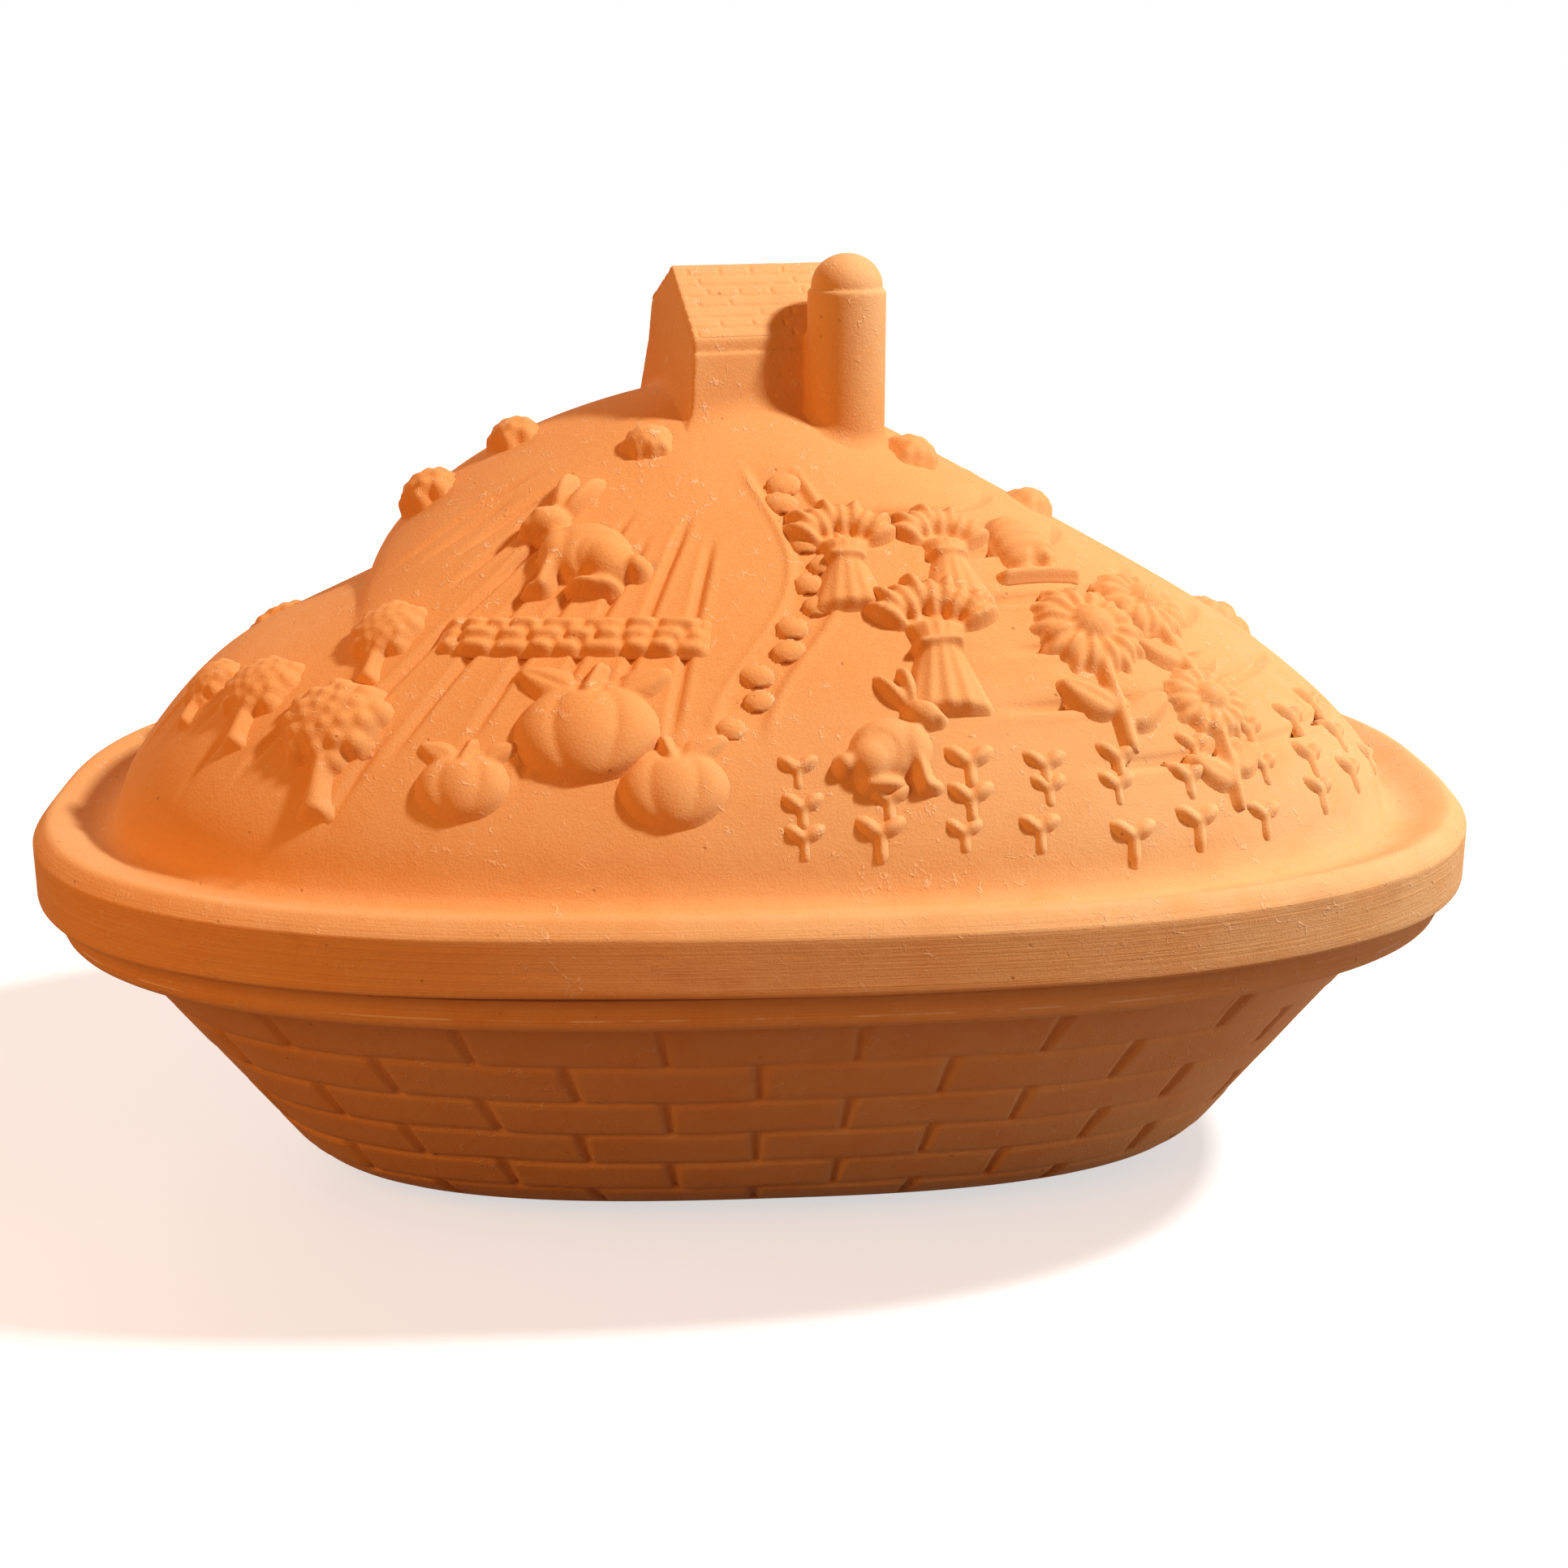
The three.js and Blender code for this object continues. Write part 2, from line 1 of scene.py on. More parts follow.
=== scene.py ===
import bpy
import numpy as np
from mathutils import Matrix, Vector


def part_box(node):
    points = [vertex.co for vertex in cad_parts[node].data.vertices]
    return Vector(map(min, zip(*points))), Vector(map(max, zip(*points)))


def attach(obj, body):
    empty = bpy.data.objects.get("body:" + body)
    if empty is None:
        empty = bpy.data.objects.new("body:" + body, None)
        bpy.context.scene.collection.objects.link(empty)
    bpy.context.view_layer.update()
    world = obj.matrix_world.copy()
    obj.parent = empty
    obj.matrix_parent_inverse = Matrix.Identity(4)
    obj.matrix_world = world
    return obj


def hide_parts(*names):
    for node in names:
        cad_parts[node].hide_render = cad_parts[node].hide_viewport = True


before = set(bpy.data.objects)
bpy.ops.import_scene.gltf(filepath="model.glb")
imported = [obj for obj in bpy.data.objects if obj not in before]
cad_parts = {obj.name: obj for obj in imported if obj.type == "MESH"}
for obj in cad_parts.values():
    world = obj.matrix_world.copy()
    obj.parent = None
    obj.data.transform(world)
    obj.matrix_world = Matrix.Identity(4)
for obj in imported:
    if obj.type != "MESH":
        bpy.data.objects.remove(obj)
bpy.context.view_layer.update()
mm = 0.001  # shapes are worked out in millimetres, as on a drawing
lidLow, lidHigh = [np.array(corner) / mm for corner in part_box("lid")]
dishLow, dishHigh = [np.array(corner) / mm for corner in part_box("dish")]
print("frame loaded:", sorted(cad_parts))


def unit(vectors):
    # vectors over their lengths
    return vectors / np.linalg.norm(vectors, axis=-1, keepdims=True)


def standAt(name, data, right, back, at):
    # a camera or lamp whose right and back lie along two directions
    place = np.eye(4)
    place[:3] = np.stack([right, np.cross(back, right), back, at], -1)
    thing = bpy.data.objects.new(name, data)
    thing.matrix_world = Matrix(place.tolist())
    bpy.context.scene.collection.objects.link(thing)
    return thing


# view from the photographer's place: turn about the baker, look down, distance and lens
view = dict(
    turn=-4.03,  # degrees
    lookDown=16.36,  # degrees
    distance=616.8,
    aimAcross=7.94,
    aimHeight=100.8,
    lens=52.81,
    sensor=36,  # a square frame
)


def makeCamera():
    # the camera stands at aim + back * distance and looks along -back
    turn, down = np.radians([view["turn"], view["lookDown"]])
    right = np.array([np.cos(turn), np.sin(turn), 0])
    back = np.array([np.sin(turn) * np.cos(down), -np.cos(turn) * np.cos(down), np.sin(down)])
    aim = right * view["aimAcross"] + [0, 0, view["aimHeight"]]
    data = bpy.data.cameras.new("camera")
    data.lens = view["lens"]
    data.sensor_width = view["sensor"]
    bpy.context.scene.camera = standAt("camera", data, right, back, (aim + back * view["distance"]) * mm)


makeCamera()
bpy.context.scene.view_settings.view_transform = "Standard"
print("camera set")

oval = dict(
    halfLength=lidHigh[0],
    halfWidth=lidHigh[1],
    power=2.65,  # 2 is an ellipse, more is squarer
)


def unitOval(turn):
    # the oval |x|^p + |y|^p = 1: a direction times its reach
    power = oval["power"]
    reach = (np.abs(np.cos(turn)) ** power + np.abs(np.sin(turn)) ** power) ** (-1 / power)
    return np.cos(turn) * reach, np.sin(turn) * reach


def ovalRings(turns, insets, heights):
    # one ring for each row of a profile: the rim oval drawn in by the row's inset, at the row's height
    ux, uy = unitOval(turns)
    insets = np.asarray(insets)[:, None]
    x = ux * (oval["halfLength"] - insets)
    y = uy * (oval["halfWidth"] - insets)
    return np.stack([x, y, np.broadcast_to(np.asarray(heights)[:, None], x.shape)], -1)


def spreadTurns(count, frontShare):
    # turns at even steps along the rim, closer together at the front by frontShare
    fine = np.linspace(-np.pi / 2, 1.5 * np.pi, 4001)
    ux, uy = unitOval(fine)
    step = np.hypot(np.diff(ux) * oval["halfLength"], np.diff(uy) * oval["halfWidth"])
    run = np.append(0, np.cumsum(step * (1 - frontShare * np.sin((fine[1:] + fine[:-1]) / 2))))
    return np.interp(np.arange(count) / count * run[-1], run, fine)


def roundCorner(before, corner, after, radius, steps):
    # an arc of that radius in a corner of a profile, touching both legs
    corner = np.array(corner, float)
    legs = [unit(np.array(end, float) - corner) for end in (before, after)]
    half = np.arccos(np.clip(legs[0] @ legs[1], -1, 1)) / 2
    centre = corner + unit(legs[0] + legs[1]) * radius / np.sin(half)
    first, last = [corner + leg * radius / np.tan(half) - centre for leg in legs]
    start = np.arctan2(first[1], first[0])
    sweep = (np.arctan2(last[1], last[0]) - start + np.pi) % (2 * np.pi) - np.pi
    angles = start + sweep * np.linspace(0, 1, steps + 1)
    return centre + radius * np.stack([np.cos(angles), np.sin(angles)], -1)


def gridNormals(points):
    # outward normals of a closed grid: the step along a ring crossed with the step to the next ring
    along = np.roll(points, -1, 1) - np.roll(points, 1, 1)
    normal = np.cross(along, np.gradient(points, axis=0))
    return normal / np.maximum(np.linalg.norm(normal, axis=-1, keepdims=True), 1e-9)


def smoothStep(low, high, value):
    # 0 up to low and 1 from high on, with a soft rise between
    share = np.clip((value - low) / (high - low), 0, 1)
    return share * share * (3 - 2 * share)


def bell(value, width):
    # 1 at 0, falling off both ways as a bell curve
    return np.exp(-(value / width) ** 2)


def arch(value, half):
    # 1 at 0, falling both ways as a round arch to 0 at half
    return np.sqrt(np.maximum(0, 1 - (value / half) ** 2))


def waver(turns, waves):
    # hand pressed clay is never quite true: sines of a height, a number round the oval and a start
    return sum(height * np.sin(number * turns + start) for height, number, start in waves)


def runAlong(points):
    # distance from the first of a line of points to each of them
    return np.append(0, np.cumsum(np.linalg.norm(np.diff(points, axis=0), axis=-1)))


def pointsAt(points, run, at):
    # points at set distances along a line
    return np.stack([np.interp(at, run, places) for places in points.T], -1)


def gridQuads(shape):
    # quads between the points of a grid
    index = np.arange(shape[0] * shape[1]).reshape(shape)
    return np.stack([index[:-1, :-1], index[1:, :-1], index[1:, 1:], index[:-1, 1:]], -1).reshape(-1, 4)


def shellFaces(sizes):
    # faces between rings of these sizes: quads between equal rings, five triangles for each step where a ring
    # meets one four times as fine, and a fan where a ring meets a pole
    faces = []
    start = 0
    for size, nextSize in zip(sizes[:-1], sizes[1:]):
        ring = start + np.arange(size)
        other = start + size + np.arange(nextSize)
        ringNext = np.roll(ring, -1)
        otherNext = np.roll(other, -1)
        if size == nextSize:
            fans = [(ring, ringNext, otherNext, other)]
        elif size == 1:
            fans = [(np.full(nextSize, start), otherNext, other)]
        elif nextSize == 1:
            fans = [(ring, ringNext, np.full(size, start + size))]
        elif nextSize == 4 * size:
            a, b, c, d = other.reshape(-1, 4).T
            e = np.roll(a, -1)
            fans = [(ring, b, a), (ring, c, b), (ring, ringNext, c), (ringNext, d, c), (ringNext, e, d)]
        else:
            a, b, c, d = ring.reshape(-1, 4).T
            e = np.roll(a, -1)
            fans = [(a, b, other), (b, c, other), (c, otherNext, other), (c, d, otherNext), (d, e, otherNext)]
        for fan in fans:
            faces += np.stack(fan, -1).tolist()
        start += size
    return faces


def addPiece(name, points, faces, body, finish):
    # a mesh from points in millimetres, on its body and in its slot
    mesh = bpy.data.meshes.new(name)
    mesh.from_pydata((np.asarray(points) * mm).tolist(), [], faces)
    mesh.polygons.foreach_set("use_smooth", np.full(len(mesh.polygons), True))
    mesh.materials.append(finish)
    mesh.validate()
    piece = bpy.data.objects.new(name, mesh)
    bpy.context.scene.collection.objects.link(piece)
    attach(piece, body)
    print(name, len(mesh.polygons), "faces")
    return piece


def addShell(name, rings, streaks, body, finish):
    # a closed skin of rings from pole to pole, with how much each ring shows turned streaks; a ring at -1
    # gets painted shade and a ring at 2 a painted highlight
    sizes = [len(ring) for ring in rings]
    piece = addPiece(name, np.concatenate(rings), shellFaces(sizes), body, finish)
    streak = piece.data.attributes.new("streak", "FLOAT", "POINT")
    streak.data.foreach_set("value", np.repeat(streaks, sizes))
    return piece


def setSockets(tree, node, sockets):
    # each socket gets a value, or a link from another socket
    for key, value in sockets.items():
        if isinstance(value, bpy.types.NodeSocket):
            tree.links.new(value, node.inputs[key])
        else:
            node.inputs[key].default_value = value


def addNode(tree, kind, sockets, **settings):
    node = tree.nodes.new("ShaderNode" + kind)
    for key, value in settings.items():
        setattr(node, key, value)
    setSockets(tree, node, sockets)
    return node


clay = dict(
    pale=(0.76, 0.44, 0.19),
    deep=(0.72, 0.285, 0.07),
    speck=(0.24, 0.08, 0.03),
    chip=(0.83, 0.52, 0.29),
    # bare clay where chips show, also the colour of the painted highlight along the bead
    bareClayAndHighlight=(0.9, 0.72, 0.55),
    stain=(0.46, 0.14, 0.045),
    # the tone, 0 deep and 1 pale, with painted light in it: deeper at the left and up the hill, paler to the
    # right where the key lamp falls, at the rim and on top. From and to in metres, and the tone at each
    paintedLightAcross=(-0.17, 0.17, 0.0, 0.75),
    paintedRimLight=(0.105, 0.155, 0.36, -0.15),
    paintedTopLight=(0.2, 0.23, 0.0, 0.55),
    kilnDrift=0.2,
    # how strongly each mark shows
    mottle=0.55,
    grain=0.35,
    specks=0.4,
    scratches=0.8,
    wear=0.3,
    paintedCreaseShade=0.55,
    chips=0.8,
    streaks=0.28,
    stains=0.25,
    paleLines=0.35,
    paintedGapShade=0.7,
    paintedBeadHighlight=0.6,
    grainSize=0.65,
    speckScale=240,
    scratchScale=200,
    roughness=(0.86, 0.97),
    specular=0.25,
)


def clayFinish(name):
    # fired clay: broad colour drift with painted light across it, mottling, fine grain, dark specks, pale
    # hair scratches, paler worn edges and painted shade in the hollows, and turned streaks, painted shade in
    # the gap under the lid and a painted highlight along the bead where the piece's streak attribute says so
    finish = bpy.data.materials.new(name)
    finish.use_nodes = True
    tree = finish.node_tree
    place = addNode(tree, "TexCoord", {}).outputs["Object"]

    def noise(scale, detail=4.0, roughness=0.55, vector=place, output="Fac"):
        sockets = {"Scale": scale, "Detail": detail, "Roughness": roughness, "Vector": vector}
        return addNode(tree, "TexNoise", sockets).outputs[output]

    def ramp(value, low, high, lowShade=0.0, highShade=1.0):
        sockets = {"Value": value, "From Min": low, "From Max": high, "To Min": lowShade, "To Max": highShade}
        return addNode(tree, "MapRange", sockets).outputs["Result"]

    def reckon(kind, first, second):
        return addNode(tree, "Math", {0: first, 1: second}, operation=kind).outputs[0]

    def times(first, second):
        return reckon("MULTIPLY", first, second)

    def blend(share, first, second):
        first, second = [shade + (1.0,) if isinstance(shade, tuple) else shade for shade in (first, second)]
        return addNode(tree, "Mix", {"Factor": share, 6: first, 7: second}, data_type="RGBA").outputs[2]

    def stretched(x, y, z):
        return addNode(tree, "Mapping", {"Scale": (x, y, z), "Vector": place}).outputs["Vector"]

    def cells(scale, feature, vector=place):
        return addNode(tree, "TexVoronoi", {"Scale": scale, "Vector": vector}, feature=feature).outputs

    def wavy(scale, reach):
        # places shifted by a noise, so that straight lines bend
        bend = noise(scale, 2.0, 0.5, place, "Color")
        sockets = {0: bend, 1: (reach, reach, reach), 2: place}
        return addNode(tree, "VectorMath", sockets, operation="MULTIPLY_ADD").outputs[0]

    grain = noise(1 / (clay["grainSize"] * mm), 3.0, 0.7)
    mottle = noise(75, 6.0, 0.62)
    # a random drift in tone, and painted light and shade: deeper in tone at the left and up the hill, and
    # paler to the right where the key lamp falls, at the rim and on top
    axes = addNode(tree, "SeparateXYZ", {0: place}).outputs
    tone = ramp(noise(9, 3.0), 0.3, 0.7, -clay["kilnDrift"], clay["kilnDrift"])
    for axis, band in (("X", "paintedLightAcross"), ("Z", "paintedRimLight"), ("Z", "paintedTopLight")):
        tone = reckon("ADD", tone, ramp(axes[axis], *clay[band]))
    colour = blend(ramp(tone, 0.0, 1.0), clay["deep"], clay["pale"])
    colour = blend(ramp(mottle, 0.45, 0.8, 0.0, clay["mottle"]), colour, clay["deep"])
    colour = blend(ramp(grain, 0.35, 0.7, 0.0, clay["grain"]), colour, clay["pale"])
    # dark specks and pits: the middles of a few cells
    spots = cells(clay["speckScale"], "F1")
    few = addNode(tree, "SeparateColor", {"Color": spots["Color"]}).outputs["Red"]
    speck = times(ramp(spots["Distance"], 0.13, 0.05), ramp(few, 0.86, 0.95))
    # pale hair scratches: short stretches of fine cell borders
    border = cells(clay["scratchScale"], "DISTANCE_TO_EDGE", wavy(320, 0.006))["Distance"]
    stretches = times(ramp(noise(260, 2.0), 0.56, 0.62), ramp(noise(24, 2.0), 0.42, 0.56))
    scratch = times(ramp(border, 0.05, 0.016), stretches)
    # worn edges are paler and chipped in patches, and hollows get painted shade, deeper in tone
    point = addNode(tree, "NewGeometry", {}).outputs["Pointiness"]
    patches = times(ramp(noise(170, 3.0), 0.6, 0.64), ramp(noise(15, 2.0), 0.5, 0.6))
    # rims: turned streaks, stains and pale lines, painted shade in the gap under the lid, and a painted
    # highlight along the bead
    rim = addNode(tree, "Attribute", {}, attribute_name="streak").outputs["Fac"]
    streak = times(rim, ramp(noise(1.0, 5.0, 0.7, stretched(7, 7, 2200)), 0.42, 0.66))
    marks = (
        (speck, "specks", "speck"),
        (scratch, "scratches", "chip"),
        (ramp(point, 0.53, 0.62), "wear", "chip"),
        # painted shade in the hollows
        (ramp(point, 0.48, 0.41), "paintedCreaseShade", "deep"),
        (times(ramp(point, 0.56, 0.6), patches), "chips", "bareClayAndHighlight"),
        (streak, "streaks", "deep"),
        (times(rim, ramp(noise(34, 4.0, 0.6, stretched(1, 1, 2)), 0.6, 0.72)), "stains", "stain"),
        (times(rim, ramp(noise(1.0, 3.0, 0.6, stretched(16, 16, 2600)), 0.66, 0.72)), "paleLines", "chip"),
        # painted shade in the gap under the lid
        (ramp(rim, -0.1, -0.6), "paintedGapShade", "speck"),
        # painted highlight along the bead
        (times(ramp(rim, 1.85, 1.95), ramp(noise(70, 3.0), 0.48, 0.56)), "paintedBeadHighlight", "bareClayAndHighlight"),
    )
    for share, strength, shade in marks:
        colour = blend(times(share, clay[strength]), colour, clay[shade])
    # surface: grain, soft unevenness from the mould, streaks, pits and scratches, by strength and by depth
    # in metres
    bumps = (
        (grain, 0.42, 0.0004),
        (noise(260, 4.0, 0.6), 0.22, 0.0005),
        (noise(38, 2.0), 0.35, 0.0012),
        (streak, 0.4, 0.0003),
        (speck, -0.5, 0.0005),
        (scratch, 0.5, 0.0003),
    )
    normal = None
    for height, strength, depth in bumps:
        sockets = {"Height": height, "Strength": abs(strength), "Distance": depth}
        if normal is not None:
            sockets["Normal"] = normal
        normal = addNode(tree, "Bump", sockets, invert=strength < 0).outputs["Normal"]
    setSockets(tree, tree.nodes["Principled BSDF"], {
        "Base Color": colour,
        "Roughness": ramp(mottle, 0.3, 0.75, *clay["roughness"]),
        "Specular IOR Level": clay["specular"],
        "Normal": normal,
    })
    return finish


lidClay = clayFinish("lidClay")
dishClay = clayFinish("dishClay")
print("clay finishes made")

# the hill: a cone and a loaf summed, with a mound behind the middle and a low shoulder on the left
hill = dict(
    halfLength=lidHigh[0] - 20,
    halfWidth=lidHigh[1] - 20,
    foot=lidLow[2] + 22,
    rise=89,
    coneShare=0.76,
    conePower=1.35,
    loafPower=6,
    footPower=8,  # how late the mound and shoulder fade out
    slopeReach=1.2,
    mound=dict(rise=20.5, x=-24, y=28, left=75, right=77, depth=54),
    shoulder=dict(rise=6, x=-142, y=-10, length=24, depth=55),
)


def hillLevel(x, y):
    # 0 at the middle of the lid, 1 at the foot of the hill
    power = oval["power"]
    reach = np.abs(x / hill["halfLength"]) ** power + np.abs(y / hill["halfWidth"]) ** power
    return np.minimum(1, reach ** (1 / power))


def hillHeight(x, y):
    # cone 1 - level^n plus loaf sqrt(1 - level^m), and the mound and shoulder faded out at the foot
    level = hillLevel(x, y)
    share = hill["coneShare"]
    body = share * (1 - level ** hill["conePower"]) + (1 - share) * np.sqrt(1 - level ** hill["loafPower"])
    mound = hill["mound"]
    along = (x - mound["x"]) / np.where(x < mound["x"], mound["left"], mound["right"])
    side = np.where(x < mound["x"], np.sqrt(np.maximum(0, 1 - np.abs(along) ** 3)), bell(along, 1))
    swell = mound["rise"] * side * bell(y - mound["y"], mound["depth"])
    knoll = hill["shoulder"]
    fall = bell(x - knoll["x"], knoll["length"]) * bell(y - knoll["y"], knoll["depth"])
    swell = swell + knoll["rise"] * fall
    return hill["foot"] + hill["rise"] * body + swell * (1 - level ** hill["footPower"])


def hillNormal(x, y):
    # the slope over a short reach each way, turned into an upright normal
    reach = hill["slopeReach"]
    slopeX = (hillHeight(x + reach, y) - hillHeight(x - reach, y)) / (2 * reach)
    slopeY = (hillHeight(x, y + reach) - hillHeight(x, y - reach)) / (2 * reach)
    return unit(np.stack([-slopeX, -slopeY, np.ones_like(slopeX)], -1))


def offHill(x, y, lift):
    # points of the hill moved out along its normals
    return np.stack([x, y, hillHeight(x, y)], -1) + hillNormal(x, y) * lift[..., None]


def hillSpot(degrees, level):
    # plan position for a turn round the lid and a level on the hill
    ux, uy = unitOval(np.radians(degrees))
    return hill["halfLength"] * level * ux, hill["halfWidth"] * level * uy


lid = dict(
    sectors=620,
    domeRows=112,
    frontShare=0.22,
    seat=lidLow[2] + 6,  # underside of the band
    seatInset=12,
    lipInset=29.8,
    lipFootInset=24.8,
    lipRootInset=20.7,
    lipChamfer=(0.6, 0.9),
    drip=(4.2, 1.2),  # the band's foot: how wide, and how far below the seat
    dripChamfer=(0.4, 0.5),
    bandFootRound=1.2,
    bandRows=10,
    shoulder=(3.8, 4.5),  # width and height of the slope between the band and the crest
    shoulderRound=1.3,
    crest=lidLow[2] + 23.2,
    crestRound=2.6,
    # inset, and depth below the crest
    gutter=[(7.4, 1.3), (10, 2.6), (12.8, 3.8), (15.8, 4.5), (18.6, 4.5)],
    waves=[(0.22, 3, 0.7), (0.16, 7, 2.1), (0.1, 13, 0)],
    wall=8.5,
    innerRows=26,
    innerLevel=0.06,
    topLevel=0.07,
    # lines pressed into the hill. A bank has a rise, a distance from its line and a width
    fanFurrows=dict(
        depth=1.5,
        width=1.0,
        bank=(0.25, 2.2, 1.1),
        spacing=6.2,  # degrees
        fade=0.1,
        stagger=(0.05, 0.03),  # of the upper and the lower ends
        # first and last turn, and the levels at the upper and the lower end
        fields=[(229, 264, 0.36, 0.93), (204, 229, 0.33, 0.6), (196, 240, 0.8, 0.985), (112, 150, 0.36, 0.9)],
    ),
    terraces=dict(
        depth=2.2,
        width=1.2,
        bank=(0.5, 2.4, 1.2),
        levels=(0.36, 0.47, 0.58, 0.69, 0.8, 0.9),
        fade=(8, 12),  # degrees
        stagger=5,  # degrees
        fields=[(291, 352), (20, 66)],  # first and last turn
    ),
    lane=dict(
        depth=1.0,
        halfWidth=5.5,
        edge=(1.3, 0.9),
        bank=(0.45, 1.6, 1.0),
        turn=273,  # degrees
        swing=6.5,  # degrees
        bends=8,
        top=(0.24, 0.3),
        end=(0.76, 0.86),
    ),
)


def laneTurn(level):
    # the lane winds down the front from the barn
    lane = lid["lane"]
    return lane["turn"] + lane["swing"] * np.sin((level - 0.25) * lane["bends"])


def lidRelief(turns, levels, points):
    # shallow lines pressed into the hill, each a bell-shaped groove with a low bank: furrows that fan down
    # from the handle, terraces along the slope and a lane. Each furrow follows the nearest column of points,
    # and each terrace the nearest row
    degrees = np.degrees(turns)[None, :] % 360
    level = levels[:, None]
    perTurn = np.linalg.norm(np.gradient(points, axis=1), axis=-1) / np.gradient(np.unwrap(turns))[None, :]
    perLevel = np.linalg.norm(np.gradient(points, axis=0), axis=-1) / np.abs(np.gradient(levels))[:, None]
    depth = np.zeros(points.shape[:2])

    def bank(line, away):
        rise, distance, width = line["bank"]
        return rise * bell(away - distance, width)

    fan = lid["fanFurrows"]
    for first, last, high, low in fan["fields"]:
        for place, degree in enumerate(np.arange(first, last, fan["spacing"])):
            apart = (degrees - degree + 180) % 360 - 180
            away = np.radians(apart - apart[0, np.abs(apart).argmin()]) * perTurn
            ends = smoothStep(high, high + fan["fade"], level - fan["stagger"][0] * (place % 2))
            ends = ends * (1 - smoothStep(low - fan["fade"], low, level + fan["stagger"][1] * (place % 3)))
            depth += ends * (bank(fan, np.abs(away)) - fan["depth"] * bell(away, fan["width"]))
    terrace = lid["terraces"]
    for first, last in terrace["fields"]:
        for place, at in enumerate(terrace["levels"]):
            shift = terrace["stagger"] * (place % 2)
            ends = smoothStep(first + shift, first + shift + terrace["fade"][0], degrees)
            ends = ends * (1 - smoothStep(last - terrace["fade"][1] + shift, last, degrees))
            away = (level - levels[np.abs(levels - at).argmin()]) * perLevel
            depth += ends * (bank(terrace, away) - terrace["depth"] * bell(away, terrace["width"]))
    lane = lid["lane"]
    away = np.abs(np.radians(degrees - laneTurn(level))) * perTurn - lane["halfWidth"]
    ends = smoothStep(*lane["top"], level) * (1 - smoothStep(*lane["end"], level))
    bed = 1 - smoothStep(-lane["edge"][0], lane["edge"][1], away)
    return depth + ends * (bank(lane, away) - lane["depth"] * bed)


def makeLid():
    # one shell of rings, from the middle of the inside out to the rim and up the hill to the handle
    turns = spreadTurns(lid["sectors"], lid["frontShare"])
    coarse = turns[::4]
    # inside: the hill again, drawn in and set down by the wall, from the middle out to the lip
    hollow = [oval[side] - lid["lipInset"] for side in ("halfLength", "halfWidth")]
    inner = np.linspace(lid["innerLevel"], 1, lid["innerRows"])[:, None]
    ux, uy = unitOval(coarse)
    roof = hillHeight(inner * ux * hill["halfLength"], inner * uy * hill["halfWidth"]) - lid["wall"]
    inside = np.stack([inner * ux * hollow[0], inner * uy * hollow[1], roof], -1)
    wallDown = np.linspace(roof[-1].mean() - 3, lidLow[2], 4)
    inside = np.concatenate([inside, ovalRings(coarse, np.full(4, lid["lipInset"]), wallDown)])
    # rim: lip, seat, band with a drip edge and a sloping shoulder, crest and gutter
    seat, crest = lid["seat"], lid["crest"]
    shoulder = [(0, crest - lid["shoulder"][1]), (lid["shoulder"][0], crest)]
    gutter = [(inset, crest - drop) for inset, drop in lid["gutter"]]
    dripInset, dripZ = lid["drip"][0], seat - lid["drip"][1]
    foot = roundCorner((dripInset, dripZ), (0, dripZ), (0, crest), lid["bandFootRound"], 4)
    edge = roundCorner((0, dripZ), *shoulder, lid["shoulderRound"], 4)
    top = roundCorner(*shoulder, gutter[0], lid["crestRound"], 4)
    bandZ = np.linspace(foot[-1, 1], edge[0, 1], lid["bandRows"])[1:-1]
    band = np.stack([np.zeros(len(bandZ)), bandZ], -1)
    under = [
        (lid["lipFootInset"], lidLow[2]),
        (lid["lipRootInset"] + lid["lipChamfer"][0], seat - lid["lipChamfer"][1]),
        (lid["lipRootInset"], seat),
        (lid["seatInset"], seat),
        (dripInset + lid["dripChamfer"][0], seat),
        (dripInset, dripZ + lid["dripChamfer"][1]),
    ]
    rim = np.concatenate([under, foot, band, edge, top, gutter])
    rimRings = ovalRings(turns, rim[:, 0], rim[:, 1])
    # hill: rings at falling levels from the foot to the handle
    levels = np.linspace(1, lid["topLevel"], lid["domeRows"])
    ux, uy = unitOval(turns)
    x = levels[:, None] * ux * hill["halfLength"]
    y = levels[:, None] * uy * hill["halfWidth"]
    slope = np.stack([x, y, hillHeight(x, y)], -1)
    outer = np.concatenate([rimRings, slope])
    # the foot of the hill and the gutter run together in soft curves
    first = len(rim) - 2
    soft = (outer[first - 1:first + 4] + 2 * outer[first:first + 5] + outer[first + 1:first + 6]) / 4
    outer[first:first + 5] = soft
    outer[len(rim):] += gridNormals(outer)[len(rim):] * lidRelief(turns, levels, slope)[..., None]
    outer[len(under):first, :, 2] += waver(turns, lid["waves"])
    topZ = hillHeight(0.0, 0.0)
    rings = [np.array([[0, 0, topZ - lid["wall"]]]), *inside, *outer, np.array([[0, 0, topZ]])]
    streaks = np.zeros(len(rings))
    start = 1 + len(inside) + len(under)
    streaks[start:start + len(foot) + len(band) + len(edge)] = 1
    piece = addShell("lidSkin", rings, streaks, "lid", lidClay)
    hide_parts("lid")


makeLid()

